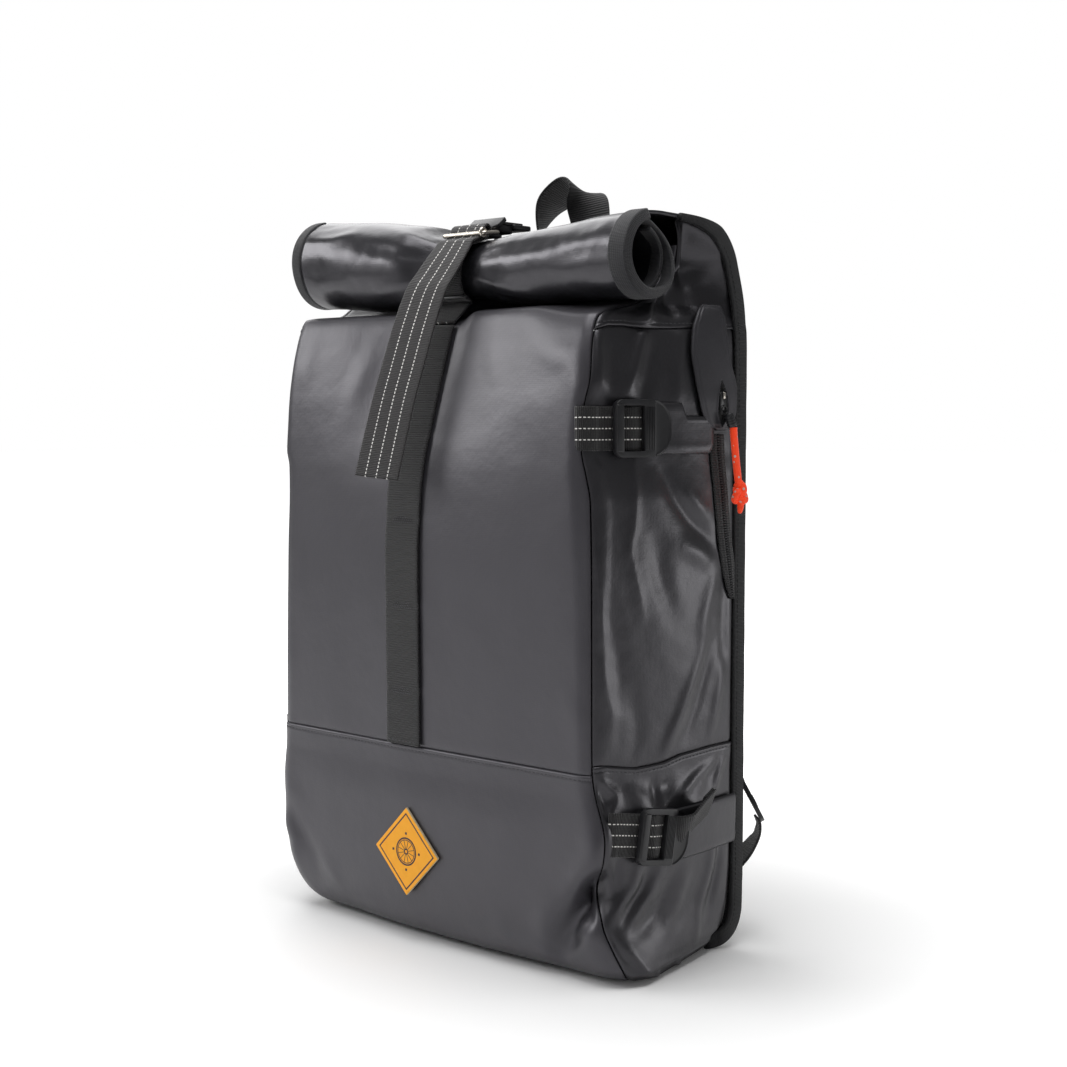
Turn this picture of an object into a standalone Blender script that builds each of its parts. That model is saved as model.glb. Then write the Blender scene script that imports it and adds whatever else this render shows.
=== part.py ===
"""A bicycle messenger backpack with a rolled top, standing on its base.

X runs to the right as one faces the front, Y from the front to the wearer's back,
and Z up. The origin is on the ground, in the middle of the base. Tables are in
millimetres, and every shape is made in metres.
"""

import math

import bpy
from mathutils import Matrix, Vector

MM = 0.001
GAP = 0.3                    # clearance between pieces that touch

# Cloth and webbing
FABRIC = 2.0                 # coated tarpaulin with its lining
ROLL_CLOTH = 2.4             # two layers of it, rolled together
BACK_PAD = 7.0
WEBBING = 1.6
STRAP_WIDTH = 30.0
SIDE_STRAP_WIDTH = 26.0
BINDING_WIDTH = 11.7
BINDING_THICK = 3.0
BINDING_TAPER = 0.6          # share by which it narrows where it meets the roll
PATCH_SIDE = 40.0
PATCH_THICK = 1.8

# Heights of the seams
FRONT_SEAM_Z = 125.5
SIDE_SEAM_Z = 130.5
COLLAR_SEAM_Z = 388.0
FOOT_Z = 0.6                 # the walls end just above the ground, round the base plate

# Outline of the standing bag at each height. mid_y and corner_y are the front face in
# the middle and at its corners, back_x and back_y where a side meets the back, swell
# is how far a side bulges out halfway, and round is the radius of the front corners.
BODY_COLUMNS = ("z", "mid_y", "corner_y", "left_x", "right_x", "back_x", "back_y", "swell", "round")
BODY_ROWS = (
    (0.0, -44.0, -38.0, -118.0, 150.0, 138.0, 44.5, 0.0, 24.0),
    (5.0, -54.0, -49.0, -130.0, 155.0, 144.0, 44.8, 0.0, 22.0),
    (11.0, -59.0, -54.0, -135.5, 156.0, 147.0, 45.2, 0.5, 20.5),
    (14.0, -60.5, -55.5, -137.0, 155.5, 147.5, 51.8, 0.8, 20.0),
    (22.0, -63.5, -58.5, -140.0, 153.0, 148.5, 56.2, 1.2, 18.5),
    (38.0, -66.0, -62.0, -143.0, 147.5, 149.2, 59.2, 2.0, 17.0),
    (58.0, -67.0, -63.5, -144.2, 146.0, 149.7, 60.0, 4.0, 16.0),
    (88.0, -67.0, -64.0, -145.0, 146.0, 150.0, 60.0, 5.0, 15.0),
    (126.0, -64.0, -62.5, -142.0, 139.0, 150.0, 60.0, 3.0, 13.0),
    (245.0, -65.0, -62.5, -141.6, 138.5, 150.5, 60.0, 4.0, 13.0),
    (285.0, -62.5, -62.3, -141.2, 137.5, 150.5, 60.0, 4.0, 13.0),
    (302.0, -60.0, -62.0, -141.0, 133.5, 150.5, 60.0, 4.0, 13.0),
    (313.0, -57.5, -61.3, -141.0, 129.8, 150.0, 60.0, 5.0, 12.5),
    (328.0, -53.0, -60.0, -141.0, 128.5, 150.0, 60.0, 5.0, 12.0),
    (343.0, -48.5, -58.2, -141.5, 129.2, 150.0, 60.0, 5.0, 11.5),
    (356.0, -44.5, -55.8, -142.0, 131.0, 150.0, 60.0, 3.0, 11.0),
    (378.0, -37.5, -50.0, -142.0, 128.0, 150.0, 59.2, 0.0, 10.0),
    (394.0, -31.0, -42.0, -142.0, 126.0, 149.5, 57.6, -3.0, 11.0),
    (398.0, -22.0, -33.0, -142.0, 126.0, 149.0, 57.2, -4.0, 10.5),
    (400.5, -11.0, -20.0, -142.0, 126.5, 149.0, 56.7, -5.0, 9.0),
    (403.0, -1.0, -8.0, -142.0, 127.0, 149.0, 56.2, -6.0, 7.0),
    (409.0, 8.0, 2.0, -142.0, 128.0, 148.5, 54.7, -8.0, 6.0),
    (417.0, 14.5, 12.0, -142.0, 131.0, 148.5, 51.8, -11.0, 5.0),
    (430.0, 19.5, 19.0, -143.0, 135.0, 148.0, 46.4, -13.0, 4.5),
    (450.0, 20.0, 18.5, -145.0, 138.0, 148.0, 24.5, -3.0, 3.5),
)

# Outer line of the back and the flap, seen from the side, up to where the roll begins
SPINE = ((48.0, 0.0), (57.0, 2.5), (64.5, 10.0), (69.5, 23.0), (71.6, 40.0), (72.0, 60.0), (72.0, 150.0),
         (72.0, 260.0), (72.0, 373.0), (70.5, 393.0), (67.0, 412.0), (61.0, 430.0))
FLAP_START = 9               # row of SPINE where the flap takes over from the back panel
BACK_HALF_WIDTH = 147.8
BASE_PINCH, BASE_PINCH_ROWS = 0.075, 3
BASE_GAP = 1.1               # wider gap beside the binding where the back grows narrower

# The rolled top from its left end to its right: its middle and radius at each place
ROLL_COLUMNS = ("x", "y", "z", "radius")
ROLL_ROWS = (
    (-148.0, -14.0, 439.5, 30.5),
    (-100.0, -13.5, 435.5, 30.0),
    (-55.0, -13.0, 431.5, 27.5),
    (-32.0, -11.0, 429.5, 22.5),
    (-20.0, -9.0, 428.8, 19.5),
    (-5.0, -8.0, 428.5, 18.5),
    (10.0, -8.5, 428.0, 19.5),
    (21.0, -10.0, 427.5, 21.0),
    (40.0, -11.5, 427.0, 23.0),
    (95.0, -12.0, 428.5, 25.0),
    (142.0, -12.0, 430.0, 27.0),
)
ROLL_TURNS = 1.9
ROLL_PITCH = 3.2             # how much smaller each turn is
ROLL_BOUND = 9.0             # length of the bound edge at each end
FLAP_NARROWS = (1.3, 1.7)    # places on the flap between which it narrows to the roll's width
FLAP_REACH = 92.0            # strength of its bends at both ends
FLAP_JOIN_ANGLE = math.radians(100)

# The daisy chain on the front, the closing strap over the roll and its loose end
CHAIN_X = -15.5
STRAP_TOP_X = -6.0
CHAIN_TOP_Z = 391.0
CHAIN_LIFT = 0.7
RING_Y, RING_Z = -20.0, 451.5
RING_WIRE = 1.4
RING_HALF_LENGTH = 18.0
RING_CORNER = 2.2
TAIL_COLUMNS = ("x", "y", "z", "yaw")
TAIL_ROWS = (
    (-6.0, -27.0, 449.0, 2.0),
    (-7.5, -32.5, 437.5, 7.0),
    (-10.0, -41.0, 425.0, 11.0),
    (-11.5, -48.4, 414.0, 14.0),
    (-13.0, -57.8, 391.0, 17.0),
    (-14.0, -66.5, 366.0, 18.0),
    (-15.0, -73.5, 345.0, 19.0),
    (-15.5, -81.0, 320.0, 21.0),
    (-15.5, -88.0, 297.0, 22.0),
)

# The carrying loop behind the roll
HANDLE_WIDTH, HANDLE_STEPS = 26.0, 32
HANDLE_COLUMNS = ("x", "y", "z", "across_x", "across_y", "across_z")
HANDLE_ROWS = (
    (-22.0, 63.0, 428.0, 1.00, 0.00, 0.00),
    (-21.5, 60.9, 441.0, 0.95, -0.30, 0.00),
    (-20.0, 59.0, 456.0, 0.75, -0.62, 0.05),
    (-14.0, 55.5, 475.0, 0.55, -0.80, 0.25),
    (0.0, 53.0, 487.0, 0.55, -0.75, 0.35),
    (13.0, 54.5, 482.0, 0.85, -0.35, 0.30),
    (20.0, 58.0, 465.0, 1.00, -0.10, 0.10),
    (22.6, 60.9, 444.0, 1.00, 0.00, 0.00),
    (23.0, 63.0, 428.0, 1.00, 0.00, 0.00),
)

# Steel ring, plastic hook and webbing that hold the closing strap to the back
RING_LEAN = Vector((0, 14.5, 1.5))     # from its front bar to its back bar
HOOK_X_LOW, HOOK_X_HIGH = -20.0, 8.0
HOOK_PROFILE = ((-10.5, 450.1), (-10.5, 452.6), (-9.2, 453.8), (-7.6, 453.2), (-7.4, 451.2), (-3.6, 451.2),
                (-3.3, 457.0), (0.5, 463.0), (6.5, 463.5), (9.0, 458.5), (31.0, 460.5), (31.0, 456.5),
                (20.0, 455.5), (6.0, 452.9), (-3.4, 450.1))
ANCHOR_HALF_WIDTH = 13.0
KEEPER_RADIUS = 1.3
KEEPER_ANGLE = math.radians(222)
KEEPER_REACH = 7.4          # from the roll's skin to the bar's middle, over the strap

# Side straps: the fastening's middle, and how far the strap rises to the back
UPPER_STRAP = {"lock_y": -20.5, "lock_z": 328.0, "rise": 0.0, "wing_end": 34.0}
LOWER_STRAP = {"lock_y": -17.0, "lock_z": 86.5, "rise": -0.16, "wing_end": 59.0}
STRAP_LIFT = 0.7
WING_THICK = 1.1
SIDE_STRAP_START = 2.0       # how far behind the front corner's face a side strap begins
LOCK_LENGTH, LOCK_HEIGHT, LOCK_THICK = 40.0, 34.0, 4.0
LOCK_BAR, LOCK_WINDOW, LOCK_RAIL = 6.0, 14.7, 3.5

# Zip on the right side, its cover at the top end and the pull
ZIP_COLUMNS = ("z", "front_y")
ZIP_ROWS = ((222.0, 55.0), (232.0, 50.0), (246.0, 45.0), (280.0, 39.0), (308.0, 36.0), (325.0, 35.0))
ZIP_WIDTH = 14.0
ZIP_REAR_Y = 59.4
COVER_COLUMNS = ("z", "front_y", "rear_y")
COVER_ROWS = (
    (326.5, 41.0, 48.0),
    (331.0, 31.0, 56.0),
    (340.0, 26.0, 59.0),
    (352.0, 23.0, 59.4),
    (369.0, 21.8, 54.5),
    (385.0, 25.5, 52.5),
    (397.0, 32.5, 51.5),
    (403.0, 40.0, 50.5),
)
COVER_THICK = 1.5
COVER_LIFT = 2.2
SLIDER_MIDDLE = (43.6, 344.5)
SLIDER_SIZE = (3.0, 7.0, 13.0)
SLEEVE_POINTS = ((156.6, 44.7, 336.9), (157.5, 45.4, 333.0), (158.5, 46.6, 328.8))
SLEEVE_RADIUS = 3.3
PULL_CORD_DIAMETER = 4.6
PULL_CORD_POINTS = ((158.8, 46.8, 328.4), (159.1, 47.9, 324.0), (159.4, 49.4, 318.5), (159.7, 51.3, 312.0),
                    (159.9, 53.4, 305.0), (160.0, 55.8, 298.3))
KNOT_ROWS = ((56.4, 297.0, 3.0), (56.9, 295.0, 5.4), (58.0, 291.0, 6.6), (58.8, 286.5, 6.0), (58.6, 282.5, 4.4),
             (57.8, 279.0, 2.6), (57.2, 275.5, 2.2))
KNOT_X = 160.0

# Shoulder straps behind the back, the right one; the left one mirrors it
PAD_WIDTH, PAD_THICK = 60.0, 8.0
PAD_ROWS = ((44.0, 76.2, 386.0), (46.0, 81.4, 366.0), (49.0, 91.0, 340.0), (54.0, 100.0, 300.0),
            (61.0, 105.0, 255.0), (70.0, 105.0, 210.0), (79.0, 100.0, 170.0), (88.0, 94.0, 138.0))
PAD_TURN = 14.0              # degrees by which a pad leans outwards at its lower end
TAB_ROWS = ((88.4, 93.8, 136.5), (91.5, 92.4, 127.0), (104.0, 95.0, 117.5), (119.0, 97.5, 107.5),
            (127.0, 98.0, 97.5))
WEB_ROWS = ((142.8, 97.3, 76.1), (144.9, 96.6, 72.6), (146.0, 93.0, 66.0), (142.5, 86.0, 56.0), (136.0, 79.0, 47.0),
            (131.5, 73.8, 40.0), (129.5, 72.4, 33.0))
LOWER_WEB_WIDTH = 19.0
LOWER_LOCK_ACROSS = (0.67, -0.74, 0.0)
LOWER_LOCK_SCALE = 0.72
LOWER_LOCK_STRETCH = 1.2
LOWER_LOCK_LIFT = 3.1


def columns(names, rows):
    """Turn rows of numbers into one dictionary for each row."""
    return [dict(zip(names, row)) for row in rows]


BODY = columns(BODY_COLUMNS, BODY_ROWS)
ROLL = columns(ROLL_COLUMNS, ROLL_ROWS)
TAIL = columns(TAIL_COLUMNS, TAIL_ROWS)
HANDLE = columns(HANDLE_COLUMNS, HANDLE_ROWS)
COVER = columns(COVER_COLUMNS, COVER_ROWS)
ZIP = columns(ZIP_COLUMNS, ZIP_ROWS)


# Small helpers

def clear_scene():
    for obj in list(bpy.data.objects):
        bpy.data.objects.remove(obj, do_unlink=True)


def mix(a, b, t):
    return a + (b - a) * t


def spread(first, last, count):
    """Evenly spaced values from first to last, count steps."""
    return [mix(first, last, i / count) for i in range(count + 1)]


def slope(table, key, name, i):
    """Slope of a column at row i that never overshoots its neighbours."""
    if i in (0, len(table) - 1):
        a, b = (0, 1) if i == 0 else (i - 1, i)
        return (table[b][name] - table[a][name]) / (table[b][key] - table[a][key])
    low = (table[i][name] - table[i - 1][name]) / (table[i][key] - table[i - 1][key])
    high = (table[i + 1][name] - table[i][name]) / (table[i + 1][key] - table[i][key])
    if low * high <= 0:
        return 0.0
    return 2 * low * high / (low + high)


def smooth_row(table, key, value):
    """Row of a table at any value of its key column, along smooth curves."""
    value = min(max(value, table[0][key]), table[-1][key])
    i = max(n for n in range(len(table) - 1) if table[n][key] <= value)
    step = table[i + 1][key] - table[i][key]
    t = (value - table[i][key]) / step
    row = {key: value}
    for name in table[0]:
        if name != key:
            a, b = table[i][name], table[i + 1][name]
            sa, sb = slope(table, key, name, i) * step, slope(table, key, name, i + 1) * step
            row[name] = (a * (1 + 2 * t) * (1 - t) ** 2 + sa * t * (1 - t) ** 2
                         + b * t * t * (3 - 2 * t) - sb * t * t * (1 - t))
    return row


def curve_point(points, t):
    """Point at t from 0 to 1 on a smooth curve through points."""
    place = t * (len(points) - 1)
    i = min(int(place), len(points) - 2)
    f = place - i
    p = [Vector(points[max(min(n, len(points) - 1), 0)]) for n in (i - 1, i, i + 1, i + 2)]
    return 0.5 * ((2 * p[1]) + (p[2] - p[0]) * f + (2 * p[0] - 5 * p[1] + 4 * p[2] - p[3]) * f * f
                  + (3 * p[1] - p[0] - 3 * p[2] + p[3]) * f ** 3)


def smooth_path(points, count):
    return [curve_point(points, t) for t in spread(0, 1, count)]


MATERIALS = {
    "tarpaulin": ((0.085, 0.082, 0.092, 1), 0.38, 0.0),
    "side_tarpaulin": ((0.022, 0.022, 0.024, 1), 0.42, 0.0),
    "webbing": ((0.028, 0.027, 0.028, 1), 0.85, 0.0),
    "binding": ((0.035, 0.034, 0.036, 1), 0.90, 0.0),
    "mesh_pad": ((0.030, 0.030, 0.032, 1), 0.95, 0.0),
    "plastic": ((0.030, 0.030, 0.032, 1), 0.45, 0.0),
    "steel": ((0.62, 0.60, 0.57, 1), 0.25, 1.0),
    "leather": ((0.93, 0.46, 0.03, 1), 0.60, 0.0),
    "cord": ((1.00, 0.045, 0.008, 1), 0.75, 0.0),
}


def dress(obj, finish):
    """Give an object its own material and smooth round faces."""
    colour, roughness, metallic = MATERIALS[finish]
    material = bpy.data.materials.new(obj.name + "_" + finish)
    material.use_nodes = True
    shader = material.node_tree.nodes["Principled BSDF"]
    shader.inputs["Base Color"].default_value = colour
    shader.inputs["Roughness"].default_value = roughness
    shader.inputs["Metallic"].default_value = metallic
    obj.data.materials.append(material)
    if obj.type == "MESH":
        obj.data.shade_smooth()
        obj.data.set_sharp_from_angle(angle=math.radians(40))
    return obj


def new_object(name, vertices, faces, finish):
    """Mesh object from points in millimetres."""
    mesh = bpy.data.meshes.new(name)
    mesh.from_pydata([Vector(v) * MM for v in vertices], [], faces)
    obj = bpy.data.objects.new(name, mesh)
    bpy.context.collection.objects.link(obj)
    return dress(obj, finish)


def wall(name, surface, us, vs, inner, outer, finish):
    """Closed wall on surface(u, v), which returns a point and its outward normal.

    inner and outer are the distances of its two faces from the surface.
    """
    vertices, faces = [], []
    rows, across = len(us), len(vs)
    for distance in (outer, inner):
        for u in us:
            for v in vs:
                point, normal = surface(u, v)
                vertices.append(point + normal * distance)

    def at(side, i, j):
        return side * rows * across + i * across + j

    for i in range(rows - 1):
        for j in range(across - 1):
            faces.append((at(0, i, j), at(0, i + 1, j), at(0, i + 1, j + 1), at(0, i, j + 1)))
            faces.append((at(1, i, j), at(1, i, j + 1), at(1, i + 1, j + 1), at(1, i + 1, j)))
    for i in range(rows - 1):
        last = across - 1
        faces.append((at(1, i, 0), at(1, i + 1, 0), at(0, i + 1, 0), at(0, i, 0)))
        faces.append((at(0, i, last), at(0, i + 1, last), at(1, i + 1, last), at(1, i, last)))
    for j in range(across - 1):
        last = rows - 1
        faces.append((at(0, 0, j), at(0, 0, j + 1), at(1, 0, j + 1), at(1, 0, j)))
        faces.append((at(1, last, j), at(1, last, j + 1), at(0, last, j + 1), at(0, last, j)))
    return new_object(name, vertices, faces, finish)


def sweep(name, frames, section, finish, closed=False):
    """Solid that carries a section along frames of (middle, a axis, b axis)."""
    size = len(section)
    vertices = [middle + a_axis * a + b_axis * b for middle, a_axis, b_axis in frames for a, b in section]
    count = len(frames)
    faces = []
    for i in range(count if closed else count - 1):
        k = (i + 1) % count
        for j in range(size):
            n = (j + 1) % size
            faces.append((i * size + j, k * size + j, k * size + n, i * size + n))
    if not closed:
        faces.append(tuple(range(size)))
        faces.append(tuple((count - 1) * size + j for j in reversed(range(size))))
    return new_object(name, vertices, faces, finish)


def strap_frames(points, across):
    """Frames along a strap; across is its width direction, one vector or one for each point."""
    frames = []
    for i, point in enumerate(points):
        along = (points[min(i + 1, len(points) - 1)] - points[max(i - 1, 0)]).normalized()
        width = Vector(across[i] if isinstance(across, list) else across)
        width = (width - along * width.dot(along)).normalized()
        frames.append((point, width, along.cross(width)))
    return frames


def oblong(width, thick):
    w, t = width / 2, thick / 2
    return [(-w, -t), (-w, t), (w, t), (w, -t)]


def cushion(width, thick):
    """Strap section with soft edges, for a pad."""
    w, t, edge = width / 2, thick / 2, thick * 0.45
    return [(-w, -t * 0.4), (-w, t * 0.4), (-w + edge, t), (w - edge, t),
            (w, t * 0.4), (w, -t * 0.4), (w - edge, -t), (-w + edge, -t)]


def disc(radius, sides):
    return [(radius * math.cos(a), -radius * math.sin(a))
            for a in (2 * math.pi * n / sides for n in range(sides))]


# The standing bag: one smooth surface, from which every panel is cut

def body_point(w, z):
    """Point of the bag's skin.

    w goes round it: 0 to 1 is the left side from the back, 1 to 2 the left corner,
    2 to 3 the front, 3 to 4 the right corner, and 4 to 5 the right side to the back.
    """
    row = smooth_row(BODY, "z", z)
    r = row["round"]
    side_y = row["corner_y"] + r
    if w < 1 or w > 4:
        hand, t = (-1, 1 - w) if w < 1 else (1, w - 4)
        front_x = row["left_x"] if w < 1 else row["right_x"]
        x = mix(front_x, hand * row["back_x"], t) + hand * row["swell"] * math.sin(math.pi * t)
        return Vector((x, mix(side_y, row["back_y"], t), z))
    if 2 <= w <= 3:
        t = 2 * (w - 2) - 1
        bow = (row["mid_y"] - row["corner_y"]) * (1 - t * t) ** 2
        return Vector((mix(row["left_x"] + r, row["right_x"] - r, w - 2), row["corner_y"] + bow, z))
    hand, turn = (-1, 2 - w) if w < 2 else (1, w - 3)
    middle_x = row["left_x"] + r if w < 2 else row["right_x"] - r
    angle = turn * math.pi / 2
    return Vector((middle_x + hand * r * math.sin(angle), side_y - r * math.cos(angle), z))


def body_surface(w, z):
    """Point of the skin and its outward normal."""
    dw, dz = 0.02, 0.5
    along = body_point(min(w + dw, 5), z) - body_point(max(w - dw, 0), z)
    up = body_point(w, z + dz) - body_point(w, z - dz)
    return body_point(w, z), along.cross(up).normalized()


def side_surface(hand, y, z):
    """Point of a side at a depth y, and its normal; hand is 1 on the right, -1 on the left."""
    row = smooth_row(BODY, "z", z)
    side_y = row["corner_y"] + row["round"]
    t = (y - side_y) / (row["back_y"] - side_y)
    if t >= 0:
        w = 4 + min(t, 1) if hand > 0 else 1 - min(t, 1)
    else:
        turn = math.acos(min((side_y - y) / row["round"], 1)) / (math.pi / 2)
        w = 3 + turn if hand > 0 else 2 - turn
    return body_surface(w, z)


def front_surface(x, z):
    """Point of the front face at a place across it, and its normal."""
    row = smooth_row(BODY, "z", z)
    low, high = row["left_x"] + row["round"], row["right_x"] - row["round"]
    return body_surface(2 + min(max((x - low) / (high - low), 0), 1), z)


def joint_step(z):
    """Half of the gap at a corner seam, as a part of the corner's turn."""
    half = GAP * (1.0 if z > COLLAR_SEAM_Z else 0.7)
    return half / ((smooth_row(BODY, "z", z)["round"] - FABRIC * 0.6) * math.pi / 2)


def panel(name, first, last, heights, count, finish):
    """Wall of the bag between two seams; a seam in the middle of a corner leaves its gap."""
    def surface(t, z):
        low = first + (joint_step(z) if first in (1.5, 3.5) else 0)
        high = last - (joint_step(z) if last in (1.5, 3.5) else 0)
        if first == 1.5:
            w = front_place(t, low, high)
        else:
            w = mix(low, high, t)
        return body_surface(w, z)
    return wall(name, surface, spread(0, 1, count), heights, -FABRIC, 0, finish)


def front_place(t, low, high):
    """Spread a front panel's points so that its round corners get enough of them."""
    knots = [low, (low + 2) / 2, 2, 2.12, 2.26, 2.4, 2.5, 2.6, 2.74, 2.88, 3, (high + 3) / 2, high]
    place = t * (len(knots) - 1)
    i = min(int(place), len(knots) - 2)
    return mix(knots[i], knots[i + 1], place - i)


BASE_HEIGHTS = [FOOT_Z, 2.5, 6, 11, 14, 22, 38, 58, 80, 104]
MIDDLE_HEIGHTS = [160, 205, 250, 285, 302, 313, 328, 343, 356, 372]
COLLAR_HEIGHTS = [394, 398, 400.5, 403, 408, 416, 427, 438]
GUSSET_TOP_Z = 449.0


def body_panels():
    seam = GAP / 2
    panel("base_front", 1.5, 3.5, BASE_HEIGHTS + [FRONT_SEAM_Z - seam], 12, "tarpaulin")
    panel("front_panel", 1.5, 3.5,
          [FRONT_SEAM_Z + seam] + MIDDLE_HEIGHTS + [COLLAR_SEAM_Z] + COLLAR_HEIGHTS, 12, "tarpaulin")
    for hand, side, (first, last) in ((1, "right", (3.5, 5)), (-1, "left", (0, 1.5))):
        panel("base_side_" + side, first, last, BASE_HEIGHTS + [SIDE_SEAM_Z - seam], 8, "side_tarpaulin")
        panel("side_panel_" + side, first, last,
              [SIDE_SEAM_Z + seam] + MIDDLE_HEIGHTS + [COLLAR_SEAM_Z - seam], 10, "side_tarpaulin")
        panel("collar_gusset_" + side, first, last,
              [COLLAR_SEAM_Z + seam] + COLLAR_HEIGHTS + [GUSSET_TOP_Z], 8, "side_tarpaulin")


def base_plate():
    """Flat bottom that the bag stands on, inside the feet of its walls."""
    inset, thick = 2.2, 2.0
    outline = []
    for w in [0, 0.5, 1, 1.25, 1.5, 1.75, 2, 2.25, 2.5, 2.75, 3, 3.25, 3.5, 3.75, 4, 4.5, 5]:
        point, normal = body_surface(w, FOOT_Z)
        level = Vector((normal.x, normal.y, 0)).normalized()
        outline.append((point.x - level.x * inset, point.y - level.y * inset))
    size = len(outline)
    vertices = [(x, y, 0) for x, y in outline] + [(x, y, thick) for x, y in outline]
    faces = [tuple(range(size - 1, -1, -1)), tuple(range(size, 2 * size))]
    faces += [(j, (j + 1) % size, size + (j + 1) % size, size + j) for j in range(size)]
    return new_object("base_plate", vertices, faces, "tarpaulin")


# Back panel, flap and roll

def spine_point(t):
    """Outer line of the back and the flap at row number t of SPINE."""
    return curve_point([(0, y, z) for y, z in SPINE], t / (len(SPINE) - 1))


def spine_surface(x, t):
    step = 0.02
    up = spine_point(min(t + step, len(SPINE) - 1)) - spine_point(max(t - step, 0))
    point = spine_point(t)
    return Vector((x, point.y, point.z)), Vector((0, up.z, -up.y)).normalized()


def base_pinch(t):
    """Share by which the back grows narrower towards the ground, at row number t of SPINE."""
    return BASE_PINCH * max(0, 1 - t / BASE_PINCH_ROWS) ** 2


def back_panel():
    rows = [0, 0.6, 1, 1.5, 2, 2.5, 3, 4, 5, 6, 7, 8, 8.6, FLAP_START - 0.01]
    edge = BACK_HALF_WIDTH
    xs = [edge, edge - 4, 75, 0, -75, -edge + 4, -edge]

    def surface(x, t):
        return spine_surface(x * (1 - base_pinch(t)), t)
    return wall("back_panel", surface, xs, rows, -BACK_PAD, 0, "mesh_pad")


def roll_point(x, s):
    """Outer line of the flap and the roll; s is 0 at the back panel and grows round the roll.

    From 0 to 1 it follows the back edge's curve, from 1 to 2 the flap comes over the top,
    and from 2 on it winds forward, down and inside, one turn for each whole number.
    """
    last = len(SPINE) - 1
    if s <= 1:
        point = spine_point(mix(FLAP_START, last, s))
        return Vector((x, point.y, point.z))
    row = smooth_row(ROLL, "x", x)
    start = spine_point(last)
    reach = row["radius"] - ROLL_PITCH * max(s - 2, 0)
    angle = FLAP_JOIN_ANGLE + 2 * math.pi * max(s - 2, 0)
    on_roll = Vector((x, row["y"] + reach * math.cos(angle), row["z"] + reach * math.sin(angle)))
    if s >= 2:
        return on_roll
    leave = (start - spine_point(last - 0.1)).normalized() * FLAP_REACH
    arrive = Vector((0, -math.sin(angle), math.cos(angle))) * FLAP_REACH
    t = s - 1
    start = Vector((x, start.y, start.z))
    return (start * (1 + 2 * t) * (1 - t) ** 2 + leave * t * (1 - t) ** 2
            + on_roll * t * t * (3 - 2 * t) - arrive * t * t * (1 - t))


def roll_surface(x, s):
    step = 0.01
    along = roll_point(x, s + step) - roll_point(x, max(s - step, 0))
    across = roll_point(x + 1, s) - roll_point(x - 1, s)
    return roll_point(x, s), across.cross(along).normalized() * -1


ROLL_LEFT, ROLL_RIGHT = ROLL[0]["x"] + ROLL_BOUND + GAP, ROLL[-1]["x"] - ROLL_BOUND - GAP


def narrowing(s):
    first, last = FLAP_NARROWS
    t = min(max((s - first) / (last - first), 0), 1)
    return t * t * (3 - 2 * t)


def flap_edge(hand, s):
    """Where the flap ends: as wide as the back, then narrowing to the roll's end."""
    end = ROLL_RIGHT if hand > 0 else ROLL_LEFT
    return mix(hand * BACK_HALF_WIDTH, end, narrowing(s))


def rolled_top():
    stations = [ROLL_LEFT, -115, -85, -55, -35, -18, -4, 12, 30, 60, 95, ROLL_RIGHT]
    winds = [0.01, 0.5, 1, 1.3, 1.4, 1.5, 1.6, 1.7, 1.85] + spread(2, 2 + ROLL_TURNS, 30)

    def surface(s, x):
        share = (x - ROLL_LEFT) / (ROLL_RIGHT - ROLL_LEFT)
        return roll_surface(mix(flap_edge(-1, s), flap_edge(1, s), share), s)
    return wall("roll_top", surface, winds, stations, -ROLL_CLOTH, 0, "tarpaulin")


def roll_binding(side, x_outer, x_inner):
    """Thick bound edge round one end of the roll: the tape over all of its layers."""
    row = smooth_row(ROLL, "x", x_outer)
    layers = ROLL_PITCH * ROLL_TURNS + 1.2
    high, low = row["radius"] + 0.4, row["radius"] - layers
    middle = (x_outer + x_inner) / 2
    half = abs(x_outer - x_inner) / 2
    section = [(-half, low), (-half, high), (half - 1.5, high), (half, high - 1.5), (half, low)]
    if x_outer < 0:
        section = [(-a, b) for a, b in reversed(section)]
    frames = []
    for n in range(24):
        angle = 2 * math.pi * n / 24
        frames.append((Vector((middle, row["y"], row["z"])), Vector((1, 0, 0)),
                       Vector((0, math.cos(angle), math.sin(angle)))))
    return sweep("roll_binding_" + side, frames, section, "binding", closed=True)


def edge_binding(side, hand):
    """Tape over the seam between a side and the back, from the ground to the roll."""
    x_low = BACK_HALF_WIDTH + GAP

    def surface(d, s):
        if s < FLAP_START:
            point, normal = spine_surface(hand * x_low, s)
            point.x *= 1 - base_pinch(s)
            point.x += hand * BASE_GAP * min(max(BASE_PINCH_ROWS + 1 - s, 0), 1)
        else:
            point, normal = roll_surface(flap_edge(hand, s - FLAP_START) + hand * GAP, s - FLAP_START)
            normal.x = 0
            d *= 1 - BINDING_TAPER * narrowing(s - FLAP_START + 0.1)
        return point - normal.normalized() * d, Vector((hand, 0, 0))

    places = [0, 0.6, 1, 1.5, 2, 2.5, 3, 4, 5, 6, 7, 8, 8.5, 9, 9.4, 9.8, 10.15, 10.3, 10.4, 10.5, 10.6]
    depths = (BINDING_WIDTH, 0) if hand > 0 else (0, BINDING_WIDTH)
    return wall("edge_binding_" + side, surface, depths, places, 0, BINDING_THICK, "binding")


# Straps and hardware on the front

def chain_webbing():
    heights = [FRONT_SEAM_Z + 1.2] + MIDDLE_HEIGHTS + [COLLAR_SEAM_Z, CHAIN_TOP_Z]
    half = STRAP_WIDTH / 2
    return wall("daisy_chain", lambda x, z: front_surface(x, z),
                [CHAIN_X - half, CHAIN_X, CHAIN_X + half], heights, CHAIN_LIFT, CHAIN_LIFT + WEBBING, "webbing")


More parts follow.
